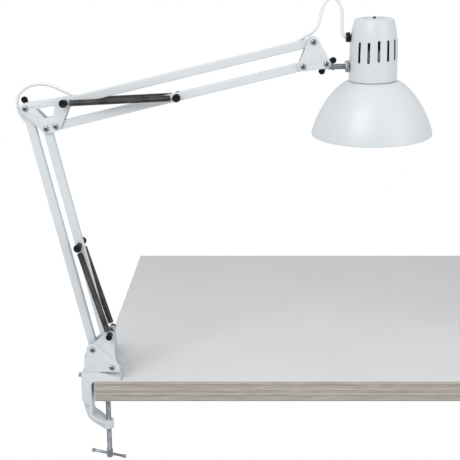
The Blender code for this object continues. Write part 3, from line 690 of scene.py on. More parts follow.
def hank_path():
    """Turns of cord laid beside and on each other, each a run out, a fold, a run back and a fold."""
    centre, ray, side = hank_axes()
    turns = HANK_LAYERS * len(HANK_FOLDS)
    points = []
    for turn in range(turns):
        for k in range(HANK_STEPS):
            share = k / HANK_STEPS
            ease = max(0.0, (share - 0.7) / 0.3)
            ease = ease * ease * (3 - 2 * ease)
            levels = zip(hank_level(turn), hank_level(min(turn + 1, turns - 1)))
            radius, height = (a + (b - a) * ease for a, b in levels)
            out, off = racetrack(share, radius)
            flat = centre + ray * out + side * off
            points.append(Vector((flat.x, flat.y, height)))
    return points


def add_mains_cord():
    """The mains lead from the yoke, its stored length folded into a hank, and the tie round it."""
    route = [(-7.0, 37.6, 24.5), (-7.2, 42.7, 24.3), (-9.2, 47.6, 21.9), (-13.2, 52.8, 16.9),
             (-18.4, 58.8, 10.8), (-22.8, 65.8, 5.9), (-25.2, 73.6, 3.1), (-26.0, 82.0, 2.6)]
    lead = smooth_path(route, 2.0)
    first = cord_piece("mains_lead_cord", lead, ["mains_lead"])
    bend_between(first)
    hank = hank_path()
    centre, _, _ = hank_axes()
    join = [lead[-1], lead[-1] + Vector((-0.4, 7.0, -0.1))]
    hank = smooth_path(join + hank[8:], 2.4)
    second = cord_piece("mains_hank_cord", hank, ["mains_hank"])
    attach(second, "clamp")
    outline = []
    half, top = HANK_FOLDS[1] + CORD_R + 0.5, HANK_LAYERS * LAYER_STEP + 0.5
    for inset in (0.0, 0.9):
        reach, low, high = half - inset, inset + 0.05, top - inset
        corners = [(-reach, low), (reach, low), (reach, high), (-reach, high)]
        outline.append(rounded(corners, 3.0 - inset))
    tie = finish_mesh("hank_tie", prism_mesh(outline[0], -3.0, 3.0, [outline[1]], axis="Y"))
    shift = Matrix.Translation((centre.x * MM, (centre.y + 22.0) * MM, 0.0))
    tie.data.transform(shift @ Matrix.Rotation(HANK_TURN, 4, "Z"))
    place(tie, SHEATH, slot_of="cord_strain_relief", body="clamp")


# Stage


def table_top():
    """Pale laminate with a slight mottle."""
    tones = ((0.65, 0.65, 0.655), (0.67, 0.67, 0.675), 6.0, 4.0)
    return surface("pale_laminate", tones, (0.45, 0.6, 90.0, 3.0))


def table_edge():
    """The board's cut edge: grey-brown plies, each with its own tone and a streaky grain."""
    material, tree, shader = start_material("ply_edge", {"Roughness": 0.7})
    plies = noise(tree, PLY_SCALE, 0.0, (0.0, 0.0, 1.0))
    grain = noise(tree, 300.0, 4.0, (0.08, 1.0, 1.0))
    streaks = tree.nodes.new("ShaderNodeMix")
    streaks.inputs["Factor"].default_value = PLY_CONTRAST
    tree.links.new(grain, streaks.inputs["A"])
    tree.links.new(plies, streaks.inputs["B"])
    tint(tree, streaks.outputs["Result"], (0.27, 0.235, 0.21), (0.52, 0.47, 0.435), shader)
    bump(tree, grain, 0.05, 0.3, shader)
    return material


def add_table():
    width, depth = TABLE_SIZE
    rear = TABLE_FRONT + depth
    outline = [(0.0, TABLE_FRONT), (width, TABLE_FRONT), (width, rear), (0.0, rear)]
    slab = finish_mesh("table", prism_mesh(outline, -TABLE_THICKNESS, 0.0, axis="Z"))
    soften(slab, 0.8)
    slab.data.materials.append(table_top())
    slab.data.materials.append(table_edge())
    for face in slab.data.polygons:
        face.material_index = 1 if abs(face.normal.z) < 0.5 else 0


def add_world():
    """A white surround for the camera, and for the lamp a pale room that is dimmer towards the front."""
    world = bpy.data.worlds.new("studio")
    bpy.context.scene.world = world
    world.use_nodes = True
    tree = world.node_tree
    tree.nodes.clear()
    direction = add_node(tree, "TexCoord", {}, "Generated")
    towards_rear = add_node(tree, "SeparateXYZ", {"Vector": direction}, "Y")
    limits = {"From Min": -1.0, "From Max": -0.7, "To Min": WORLD_LIGHT * FRONT_SHARE, "To Max": WORLD_LIGHT}
    strength = add_node(tree, "MapRange", {"Value": towards_rear, **limits})
    room = add_node(tree, "Background", {"Color": (0.97, 0.985, 1.0, 1.0), "Strength": strength})
    seen = add_node(tree, "Background", {"Color": (1.0, 1.0, 1.0, 1.0), "Strength": 1.0})
    by_camera = add_node(tree, "LightPath", {}, "Is Camera Ray")
    mix = add_node(tree, "MixShader", {"Fac": by_camera, 1: room, 2: seen})
    output = tree.nodes.new("ShaderNodeOutputWorld")
    tree.links.new(mix, output.inputs["Surface"])
    bpy.context.scene.view_settings.view_transform = "Standard"


def add_softboxes():
    for name, position, size, watts in SOFTBOXES:
        data = bpy.data.lights.new(name, "AREA")
        data.shape = "RECTANGLE"
        data.size, data.size_y = size
        data.energy = watts
        light = bpy.data.objects.new(name, data)
        light.location = position
        aim = Vector(LIGHT_TARGET) - Vector(position)
        light.rotation_euler = aim.to_track_quat("-Z", "Y").to_euler()
        bpy.context.scene.collection.objects.link(light)


# Fasteners


def cross_cutter(name, centre, axis_side, depth, size=2.9, width=0.95):
    """A cross-shaped recess cutter, sunk this deep into a head's front at (x, y, z) along Y."""
    x, y, z = centre
    a, b = size, width
    outline = [(b, b), (a, b * 0.8), (a, -b * 0.8), (b, -b), (b * 0.8, -a), (-b * 0.8, -a), (-b, -b),
               (-a, -b * 0.8), (-a, b * 0.8), (-b, b), (-b * 0.8, a), (b * 0.8, a)]
    turn = math.radians(24.0)
    cos, sin = math.cos(turn), math.sin(turn)
    turned_outline = [(x + p * cos - q * sin, z + p * sin + q * cos) for p, q in outline]
    low, high = sorted((y - axis_side * 0.5, y + axis_side * depth))
    return finish_mesh(name, prism_mesh(turned_outline, low, high))


def paint_recess_shade(obj, centre, inward, depth):
    """Paint the walls and floor of the recess cut at this centre with the near-black painted shade."""
    obj.data.materials.append(PAINTED_SHADE)
    for face in obj.data.polygons:
        offset = Vector(face.center) / MM - Vector(centre)
        sunk = offset.y * inward
        if depth * 0.45 < sunk < depth + 0.1 and math.hypot(offset.x, offset.z) < RECESS_REACH:
            face.material_index = 1


def pan_head(under, radius, height):
    """The profile of a domed head, from its underside towards minus along the screw's axis."""
    points = [(radius, under), (radius * 0.985, under - height * 0.32)]
    for k in range(1, 7):
        a = math.radians(90.0 * k / 6)
        points.append((radius * 0.985 * math.cos(a) ** 0.8 if k < 6 else 0.0,
                       under - height * (0.32 + 0.68 * math.sin(a))))
    return points


def add_pan_screw(name, node, point, shank, side=1, radius=4.2, height=HEAD_HEIGHT, depth=RECESS_DEPTH):
    """A screw with a cross recess. Its shank's profile ends under the head, and points to this side."""
    under = shank[-1][1]
    screw = turned(name, shank + pan_head(under, radius, height), at(point), (0, side, 0), 36)
    middle = (point.x, side * (under - height), point.y)
    combine(screw, [cross_cutter("recess", middle, side, depth)])
    place(screw, ZINC, node)
    # Near-black painted shade on the walls and floor of the cross recess.
    paint_recess_shade(screw, middle, side, depth)


def hexagon_nut(name, point, low, high, across=8.0, hole=2.5, start=10.0):
    outline = circle((point.x, point.y), across / 2 / math.cos(math.radians(30)), 6, math.radians(start))
    nut = finish_mesh(name, prism_mesh(outline, low, high, [circle((point.x, point.y), hole, 24)]))
    return soften(nut, 0.35)


def threaded(name, radius, depth, pitch, length, centre, axis, sides=20, steps=6):
    """A rod with a helical thread cut into it, closed at both ends."""
    bm = bmesh.new()
    axis, across, other = directions(axis)
    count = max(2, int(length / pitch * steps))
    rings = []
    for k in range(count + 1):
        t = length * k / count
        fade = min(1.0, t / pitch, (length - t) / pitch)
        phases = [(t / pitch - i / sides) % 1.0 for i in range(sides)]
        radii = [radius - depth * fade * abs(2.0 * phase - 1.0) for phase in phases]
        rings.append(add_ring(bm, Vector(centre) + axis * t, across, other, radii))
    join_rings(bm, rings)
    return finish_mesh(name, bm)


def add_bolt(node, point, reach):
    """A pan-head screw through the plates and its nut at the rear."""
    front, rear = -reach - GAP, reach + GAP
    shank = [(0.0, rear + 5.2), (2.1, rear + 5.2), (2.5, rear + 4.8), (2.5, front)]
    add_pan_screw(f"{node}_screw", node, point, shank)
    nut = hexagon_nut(f"{node}_nut", point, rear, rear + 3.9)
    place(nut, ZINC, slot_of=node)


def add_clamping_bolt(node, point):
    """A screw whose threaded end stands out at the rear for a wing nut."""
    front = -ARM_PLATE_IN - PLATE - GAP
    add_pan_screw(f"{node}_screw", node, point, [(0.0, 12.5), (2.5, 12.5), (2.5, front)])
    end = threaded(f"{node}_thread", 2.5, 0.35, 0.9, 9.2, at(point, 12.4), (0, 1, 0), 16, 5)
    place(end, ZINC, slot_of=node)


def add_wing_nut(node, point, wing_angles):
    low = ARM_PLATE_IN + PLATE + GAP
    hub = [(2.75, low), (8.0, low), (8.4, low + 0.5), (8.2, low + 1.7), (6.6, low + 2.8), (6.0, low + 4.4),
           (5.7, low + 8.4), (5.2, low + 9.5), (4.6, low + 9.9), (2.75, low + 9.9)]
    nut = turned(f"{node}_hub", hub, at(point), (0, 1, 0), 40, closed=True)
    wings = []
    for i, angle in enumerate(wing_angles):
        ray = along(angle)
        side = Vector((-ray.y, ray.x))
        root = point + ray * 4.2
        outline = [root + side * 3.4, root - side * 3.4, point + ray * 7.8 - side * 3.2]
        tip = point + ray * 12.3
        outline += [tip + along(angle - 104 + 208 * k / 18) * 4.6 for k in range(19)]
        outline.append(point + ray * 7.8 + side * 3.2)
        wing = finish_mesh(f"wing_{i}", prism_mesh(outline, low + 3.2, low + 7.8))
        wings.append(soften(wing, 1.3, 4))
    combine(nut, wings, "UNION")
    place(nut, BLACK, node)


def add_spools(node, point, inner, scale=1.0):
    """Two black spools, each with a flange, a waist where the spring hooks on and a sunk screw."""
    end = SPOOL_END
    profile = [
        (0.0, end - 1.2), (2.3, end - 1.2), (2.9, end - 0.9), (3.3, end - 0.2), (3.8, end), (4.9, end),
        (5.5, end - 0.25), (5.85, end - 0.8), (5.9, end - 1.4), (5.9, end - 2.9), (5.8, end - 3.5),
        (5.2, end - 4.0), (4.0, end - 4.3), (3.35, end - 5.0), (3.3, end - 7.4), (3.6, end - 8.6),
        (4.5, inner + 1.2), (4.6, inner + 0.4), (4.6, inner), (2.6, inner), (2.6, end - 2.4),
        (0.0, end - 2.4),
    ]
    if end - 8.6 < inner + 1.2:
        profile[15] = (3.6, inner + 1.8)
    profile = [(r * scale if y > end - 4.8 and r > 3.35 else r, y) for r, y in profile]
    for side, label in SIDES:
        spool = turned(f"{node}_{label}_spool", profile, at(point), (0, side, 0))
        sunk = (point.x, side * (end - 1.2), point.y)
        combine(spool, [cross_cutter("recess", sunk, -side, 0.8, 1.8, 0.55)])
        place(spool, BLACK, f"{node}_{label}")


def add_plates(name, node, discs, holes, inside, edge=0.35):
    """A pair of sheet plates round the discs, one on each side of the arms' plane."""
    for side, label in SIDES:
        low, high = sorted((side * inside, side * (inside + PLATE)))
        plate = finish_mesh(f"{name}_{label}", prism_mesh(hull_outline(discs), low, high, holes))
        place(soften(plate, edge), SHEET, f"{node}_{label}")


# Clamp


def add_clamp():
    """The casting: a jaw and a post, and below the table a web with a flange along its inner side."""
    corners, radii = zip(
        ((-19.8, 14.5), 4.5), ((6.0, 14.5), 2.5), ((40.0, 4.4), 1.4), ((40.0, 0.0), 0.8),
        ((0.4, 0.0), 1.5), ((-5.2, -5.2), 1.5), ((-5.2, -56.6), 3.0), ((13.0, -69.0), 2.0),
        ((26.0, -71.0), 0.5), ((26.0, -83.5), 0.5), ((11.5, -83.5), 3.0), ((-7.5, -70.5), 5.0),
        ((-13.8, -62.0), 5.0), ((-18.2, -46.0), 5.0), ((-20.0, -31.0), 4.0), ((-20.2, -4.0), 4.0))
    body = finish_mesh("clamp_casting", prism_mesh(rounded(corners, radii, 5), -15.0, 15.0))
    cutters = []
    web = rounded(CLAMP_WEB, 1.2)
    for side in (-1, 1):
        low, high = sorted((side * 6.5, side * 20.0))
        cutters.append(finish_mesh("web_trim", prism_mesh(web, low, high)))
        taper = [(3.0, side * 30.0), (3.0, side * 15.2)]
        for k in range(13):
            x, y = along(66.0 - 5.5 * k) * BOSS_R
            taper.append((SCREW_X + x, side * y))
        taper += [(60.0, 0.0), (60.0, side * 30.0)]
        cutters.append(finish_mesh("boss_trim", prism_mesh(taper, -90.0, -60.0, axis="Z")))
    cutters.append(rod("bore", (SCREW_X, 0, -90.0), (SCREW_X, 0, -50.0), 4.3, 32))
    cutters.append(rod("pin_bore", (SWIVEL_X, 0, 2.0), (SWIVEL_X, 0, 24.0), 5.3, 32))
    cutters.append(rod("lock_bore", (-30.0, 0, LOCK_Z), (-3.0, 0, LOCK_Z), 2.3, 20))
    combine(body, cutters)
    soften(body, 0.7, 3)
    place(body, CASTING, "clamp_frame")
    profile = [(0.0, -26.2), (2.0, -26.4), (3.0, -26.2), (3.6, -25.4), (3.6, -21.6), (3.2, -20.9),
               (2.0, -20.9), (2.0, -6.8), (0.0, -6.8)]
    lock = turned("lock_screw", profile, (0, 0, LOCK_Z), (1, 0, 0), 32)
    slot = [(-28.0, LOCK_Z - 0.5), (-25.2, LOCK_Z - 0.5), (-25.2, LOCK_Z + 0.5), (-28.0, LOCK_Z + 0.5)]
    combine(lock, [finish_mesh("slot", prism_mesh(slot, -5.0, 5.0))])
    place(lock, ZINC, "swivel_lock_screw")


def add_clamp_screw():
    _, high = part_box("pressure_pad")
    top = high.z / MM
    profile = [(0.0, top), (10.6, top), (11.3, top - 0.3), (11.5, top - 1.0), (11.5, top - 1.9),
               (11.0, top - 2.5), (7.4, top - 2.9), (6.5, top - 3.5), (6.1, top - 5.3), (5.6, top - 5.8),
               (0.0, top - 5.8)]
    place(turned("pad", profile, (SCREW_X, 0, 0), UP, 56), ZINC, "pressure_pad")
    low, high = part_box("clamp_screw")
    start, end = high.z / MM, low.z / MM
    thread = threaded("screw_thread", 4.0, 0.5, 1.5, start - end - 13.0, (SCREW_X, 0, start), (0, 0, -1))
    place(thread, ROD, "clamp_screw")
    bar_z = node_middle("tommy_bar").y
    profile = [(0.0, end), (3.6, end), (4.4, end + 0.4), (4.9, end + 1.2), (4.9, bar_z + 7.4),
               (4.5, bar_z + 8.2), (3.9, bar_z + 8.6), (0.0, bar_z + 8.6)]
    collar = turned("screw_head", profile, (SCREW_X, 0, 0), UP)
    flat = along(BAR_YAW)
    ray = Vector((flat.x, flat.y, 0.0))
    middle = Vector((SCREW_X, 0, bar_z))
    combine(collar, [rod("bar_bore", middle - ray * 12, middle + ray * 12, 2.4)])
    place(collar, ROD, slot_of="clamp_screw")
    ball = [along(82.0 - 15.0 * k, BAR_KNOB_R) for k in range(9)]
    centre = BAR_HALF - BAR_KNOB_R
    neck = centre - BAR_KNOB_R * 0.85
    profile = [(0.0, -BAR_HALF)] + [(p.x, -centre - p.y) for p in ball] + [(BAR_R, -neck), (BAR_R, neck)]
    profile += [(p.x, centre + p.y) for p in reversed(ball)] + [(0.0, BAR_HALF)]
    place(turned("tommy_rod", profile, middle + ray * BAR_SHIFT, ray, 28), ROD, "tommy_bar")


# Base


def add_base():
    outline = [(-14.3, 15.0), (39.0, 15.0), (39.0, 24.0)]
    outline += [tuple(BASE_LOWER + along(a, 11.0)) for a in range(12, 46, 6)]
    outline += [tuple(BASE_UPPER + along(a, 9.5)) for a in range(45, 191, 12)]
    outline += [(-10.9, 42.6), (-12.6, 41.9), (-13.8, 40.6), (-14.3, 39.0)]
    yoke = finish_mesh("yoke", prism_mesh(outline, -YOKE_IN - PLATE, YOKE_IN + PLATE))
    inside = rounded(((-12.8, 16.5), (60.0, 16.5), (60.0, 90.0), (-12.8, 90.0)), 0.8)
    cutters = [finish_mesh("inside", prism_mesh(inside, -YOKE_IN, YOKE_IN))]
    for point in (BASE_UPPER, BASE_LOWER):
        cutters.append(cross_rod("hole", point, HOLE_R))
    cutters.append(rod("pin_hole", (SWIVEL_X, 0, 4), (SWIVEL_X, 0, 24), 3.0))
    cutters.append(rod("cord_hole", (-7.0, 5, 24.5), (-7.0, 30, 24.5), 3.8))
    for side, _ in SIDES:
        y = side * (YOKE_IN + 0.6)
        cutters.append(rod("relief", (-22.0, y, 40.4), (-11.4, y, 40.4), 1.5, 16))
        cutters.append(rod("relief", (-13.7, y, 8.0), (-13.7, y, 17.7), 1.5, 16))
    combine(yoke, cutters)
    soften(yoke, 0.35, 2)
    place(yoke, SHEET, "base_yoke")
    profile = [(0.0, 2.3), (4.2, 2.3), (5.0, 3.1), (5.0, 14.7), (2.7, 14.7), (2.7, 16.8),
               (5.4, 16.8), (5.4, 17.9), (5.1, 18.8), (4.0, 19.5), (0.0, 19.7)]
    place(turned("pin", profile, (SWIVEL_X, 0, 0), UP), ZINC, "swivel_pin")
    add_bolt("base_bolt_upper", BASE_UPPER, YOKE_IN + PLATE)
    add_bolt("base_bolt_lower", BASE_LOWER, YOKE_IN + PLATE)


def add_spring_posts():
    """The plates inside the yoke that carry the lower springs, each with its screw and spool."""
    discs = [(BASE_UPPER, 6.6), (BASE_LOWER, 5.1), (SPRING_POST, 6.4)]
    holes = [circle(p, HOLE_R) for p in (BASE_UPPER, BASE_LOWER, SPRING_POST)]
    add_plates("post", "spring_post", discs, holes, POST_IN, 0.3)
    head = POST_IN - GAP
    shank = [(0.0, SPOOL_END - 2.5), (2.2, SPOOL_END - 2.5), (2.2, head)]
    for side, label in SIDES:
        add_pan_screw(f"post_screw_{label}", f"post_bolt_{label}", SPRING_POST, shank, side, 4.4, 2.2, 1.3)
    add_spools("post_sleeve", SPRING_POST, POST_IN + PLATE + GAP, POST_SPOOL_SCALE)


def add_strain_relief():
    """A tapered sleeve with grooves that let it bend, clipped into the yoke's rear plate."""
    profile = [(2.45, 10.6), (4.2, 10.4), (5.2, 11.2), (5.2, 12.8), (3.4, 12.9), (3.4, 15.1), (4.9, 15.1),
               (5.0, 15.8), (4.9, 17.0)]
    for k in range(6):
        y = 18.2 + 3.1 * k
        r = 4.5 - 0.2 * k
        profile += [(r, y), (r, y + 1.7), (r - 0.8, y + 2.0), (r - 0.8, y + 2.9)]
    profile += [(3.2, 37.0), (3.1, 37.8), (2.45, 38.0)]
    relief = turned("strain_relief", profile, (-7.0, 0, 24.5), (0, 1, 0), 32, closed=True)
    place(relief, BLACK, "cord_strain_relief")


# Arms


def tube_section(half, radius, steps):
    corners = []
    for cx, cy, a in ((1, 1, 0), (-1, 1, 90), (-1, -1, 180), (1, -1, 270)):
        for k in range(steps + 1):
            turn = math.radians(a + 90 * k / steps)
            corners.append(((half - radius) * cx + radius * math.cos(turn),
                            (half - radius) * cy + radius * math.sin(turn)))
    return corners


def add_tube(node, start, end, start_bush, end_bush, start_end=TUBE_END, bore_at=None, cord_slots=()):
    """A square tube with chamfered ends and a bush at each pivot."""
    ray = (end - start).normalized()
    up = Vector((-ray.y, ray.x))
    first = start - ray * start_end
    length = (end - start).length + start_end + TUBE_END
    half = TUBE / 2

    def sweep(name, points, low, high):
        bm = bmesh.new()
        rings = [[bm.verts.new((first.x + ray.x * t + up.x * v, u, first.y + ray.y * t + up.y * v))
                  for u, v in points] for t in (low, high)]
        join_rings(bm, rings)
        return finish_mesh(name, bm)

    tube = sweep(f"{node}_profile", tube_section(half, 1.4, 4), 0.0, length)
    combine(tube, [sweep("inside", tube_section(half - TUBE_WALL, 0.5, 2), -1.0, length + 1.0)])
    corners = [first + ray * a + up * b for a, b in (
        (0.0, half - TUBE_CHAMFER), (0.0, TUBE_CHAMFER - half), (TUBE_CHAMFER, -half - 0.1),
        (length - TUBE_CHAMFER, -half - 0.1), (length, TUBE_CHAMFER - half), (length, half - TUBE_CHAMFER),
        (length - TUBE_CHAMFER, half + 0.1), (TUBE_CHAMFER, half + 0.1))]
    combine(tube, [finish_mesh("ends", prism_mesh(corners, -TUBE, TUBE))], "INTERSECT")
    cutters = []
    bushes = []
    for point, reach in ((start, start_bush), (end, end_bush)):
        cutters.append(cross_rod("bore", point, (HOLE_R + BUSH_R) / 2, 31))
        ring = [(HOLE_R, -reach), (BUSH_R - 0.3, -reach), (BUSH_R, -reach + 0.3), (BUSH_R, reach - 0.3),
                (BUSH_R - 0.3, reach), (HOLE_R, reach)]
        bushes.append(turned("bush", ring, at(point), (0, 1, 0), 36, closed=True))
    if bore_at is not None:
        cutters.append(cross_rod("spring_bore", start + ray * bore_at, 2.5))
    for distance, side in cord_slots:
        edge = start + ray * distance + up * side * half
        corners = [edge + ray * a + up * b for a, b in ((-5.5, -2.5), (5.5, -2.5), (5.5, 2.5), (-5.5, 2.5))]
        cutters.append(finish_mesh("slot", prism_mesh(corners, -3.4, 3.4)))
    combine(tube, cutters)
    combine(tube, bushes, "UNION")
    place(tube, SHEET, node)


def add_spring_pin(node, point):
    half = SPOOL_END - 2.5
    pin = turned(f"{node}_rod", [(0, -half), (2.2, -half), (2.2, half), (0, half)], at(point), (0, 1, 0), 24)
    place(pin, ZINC, node)


def add_lower_arm():
    base_bush, elbow_bush = POST_IN - GAP, ARM_PLATE_IN - GAP
    length = (ELBOW_REAR - BASE_UPPER).length
    add_tube("lower_rear_tube", BASE_UPPER, ELBOW_REAR, base_bush, elbow_bush, TUBE_BASE_END,
             cord_slots=((length - 17.0, 1),))
    add_tube("lower_front_tube", BASE_LOWER, ELBOW_FRONT, base_bush, elbow_bush, TUBE_BASE_END,
             (LOWER_SPRING - BASE_LOWER).length)
    add_spring_pin("lower_spring_pin", LOWER_SPRING)
    add_spools("lower_spring_knob", LOWER_SPRING, TUBE / 2 + GAP)


def add_elbow():
    discs = [(ELBOW_REAR, 7.6), (ELBOW_FRONT, 7.2), (ELBOW_ARM, 7.2), (ELBOW_SPRING, 7.6)]
    window = rounded([ELBOW_REAR + Vector((15.0, -0.4)), ELBOW_SPRING + Vector((-14.5, -4.6)),
                      ELBOW_ARM + Vector((-3.6, 14.2)), ELBOW_FRONT + Vector((-1.2, 15.2))], 2.0)
    holes = [circle(p, HOLE_R) for p in (ELBOW_REAR, ELBOW_FRONT, ELBOW_ARM)]
    holes.append(circle(ELBOW_SPRING, 2.5))
    add_plates("elbow_sheet", "elbow_plate", discs, holes + [window], ARM_PLATE_IN)
    reach = ARM_PLATE_IN + PLATE
    add_clamping_bolt("elbow_bolt_rear", ELBOW_REAR)
    add_bolt("elbow_bolt_front", ELBOW_FRONT, reach)
    add_bolt("elbow_bolt_arm", ELBOW_ARM, reach)
    add_spring_pin("elbow_spring_pin", ELBOW_SPRING)
    add_spools("elbow_spring_knob", ELBOW_SPRING, reach + GAP)
    add_wing_nut("elbow_wing_nut", ELBOW_REAR, ELBOW_WINGS)


def add_upper_arm():
    bush = ARM_PLATE_IN - GAP
    length = (HEAD_UPPER - ELBOW_SPRING).length
    add_tube("upper_top_tube", ELBOW_SPRING, HEAD_UPPER, bush, bush,
             cord_slots=((13.0, 1), (length - 17.0, 1)))
    add_tube("upper_bottom_tube", ELBOW_ARM, HEAD_LOWER, bush, bush,
             bore_at=(UPPER_SPRING - ELBOW_ARM).length)
    add_spring_pin("upper_spring_pin", UPPER_SPRING)
    add_spools("upper_spring_knob", UPPER_SPRING, TUBE / 2 + GAP)


def spring_path(start, end, y):
    """The wire of a close-wound spring: a loop round each anchor and the coils between them."""
    ray = (end - start).normalized()
    up = Vector((-ray.y, ray.x))
    length = (end - start).length
    coil_r = SPRING_R - SPRING_WIRE_R

    def point(t, across, out):
        flat = start + ray * t + up * across
        return Vector((flat.x, y + out, flat.y))

    def hook(middle, start_angle):
        rays = [along(start_angle + 20.0 * k, HOOK_R) for k in range(15)]
        return [point(middle + ray.x, ray.y, 0.0) for ray in rays]

    first, last = SPRING_END_GAP, length - SPRING_END_GAP
    steps = 12 * round((last - first) / (2.1 * SPRING_WIRE_R))
    points = hook(0.0, 40.0)
    for k in range(steps + 1):
        swell = min(1.0, k / 6, (steps - k) / 6)
        turn = 2 * math.pi * k / 12 - math.pi / 2
        r = coil_r * (0.35 + 0.65 * swell)
        points.append(point(first + (last - first) * k / steps, r * math.sin(turn), r * math.cos(turn)))
    return points + hook(length, 220.0)


def add_springs():
    for arm, near, far, bodies in (
            ("lower", SPRING_POST, LOWER_SPRING, ("base", "lower_front")),
            ("upper", ELBOW_SPRING, UPPER_SPRING, ("elbow", "upper_bottom"))):
        for side, label in SIDES:
            node = f"{arm}_spring_{label}"
            wire = tube_along(f"{node}_wire", spring_path(near, far, side * SPRING_Y), SPRING_WIRE_R, 6)
            wire.data.materials.append(WIRE)
            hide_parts(node)
            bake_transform(wire)


# Head


def add_head_bracket():
    discs = [(HEAD_UPPER, 8.0), (HEAD_LOWER, 7.0), (HEAD_TILT, 5.9)]
    holes = [circle(p, HOLE_R) for p in (HEAD_UPPER, HEAD_LOWER, HEAD_TILT)]
    add_plates("head_sheet", "head_plate", discs, holes, ARM_PLATE_IN)
    reach = ARM_PLATE_IN + PLATE
    add_bolt("head_bolt_top", HEAD_UPPER, reach)
    add_bolt("head_bolt_bottom", HEAD_LOWER, reach)
    add_clamping_bolt("head_bolt_tilt", HEAD_TILT)
    add_wing_nut("head_wing_nut", HEAD_TILT, HEAD_WINGS)


def add_stem():
    face = ARM_PLATE_IN - GAP
    start = HEAD_TILT.x
    outside = HEAD_X - NECK_R
    inner = outside + WALL + 6.2
    ring = [(HOLE_R, -face), (6.2, -face), (6.6, -face + 0.4), (6.6, face - 0.4), (6.2, face), (HOLE_R, face)]
    eye = turned("stem_eye", ring, at(HEAD_TILT), (0, 1, 0), 48, closed=True)
    end = inner - start - 18.0
    profile = [(0.0, 3.6), (4.0, 3.6), (4.0, 7.9), (4.7, 8.0), (5.2, 8.6), (5.2, 11.2), (4.7, 11.8),
               (4.0, 11.9), (4.0, end), (0.0, end)]
    combine(eye, [turned("shank", profile, (start, 0, STEM_Z), (1, 0, 0), 36)], "UNION")
    place(set_stem(eye), ROD, "stem")
    thread = threaded("stem_thread", 4.0, 0.4, 1.0, 18.2, (inner - 18.2, 0, STEM_Z), (1, 0, 0))
    place(set_stem(thread), ROD, slot_of="stem")
    ring = [(4.3, outside - 2.4), (8.5, outside - 2.4), (8.8, outside - 2.1), (8.8, outside - 1.2),
            (8.5, outside - 0.9), (4.3, outside - 0.9)]
    washer = turned("stem_washer", ring, (0, 0, STEM_Z), (1, 0, 0), 48, closed=True)
    place(set_stem(washer), ZINC, "stem_nut_outer")
    nuts = (("outer", outside - 5.6, outside - 2.5, 14.4), ("inner", outside + 2.8, outside + 6.2, 12.4))
    for label, low, high, across in nuts:
        outline = circle((0.0, STEM_Z), across / 2 / math.cos(math.radians(30)), 6, math.radians(12))
        mesh = prism_mesh(outline, low, high, [circle((0.0, STEM_Z), 4.15, 28)], axis="X")
        nut = set_stem(soften(finish_mesh(f"stem_hex_{label}", mesh), 0.45))
        if label == "inner":
            place(nut, ZINC, "stem_nut_inner")
        else:
            place(nut, ZINC, slot_of="stem_nut_outer")


def turn_piece(obj, matrix):
    """Apply a move that is given in millimetres to a piece's mesh."""
    obj.data.transform(Matrix.Scale(MM, 4) @ matrix @ Matrix.Scale(1 / MM, 4))
    return obj


def set_stem(obj):
    """Give a piece that is modelled level the stem's slope."""
    return turn_piece(obj, STEM_MATRIX)


def set_head(obj):
    """Move a piece from the head's upright frame to its place on the stem, with its roll."""
    return turn_piece(obj, HEAD_MATRIX)


def spread(points, step):
    """The points of a smooth profile through a few (radius, height) pairs."""
    path = smooth_path([(r, 0.0, z) for r, z in points], step)
    return [(p.x, p.z) for p in path]


def slot_outline(width, low, high, steps=10):
    outline = []
    for middle, first in ((high - width, 0), (low + width, 180)):
        for k in range(steps + 1):
            turn = math.radians(first + 180 * k / steps)
            outline.append((width * math.cos(turn), middle + width * math.sin(turn)))
    return outline


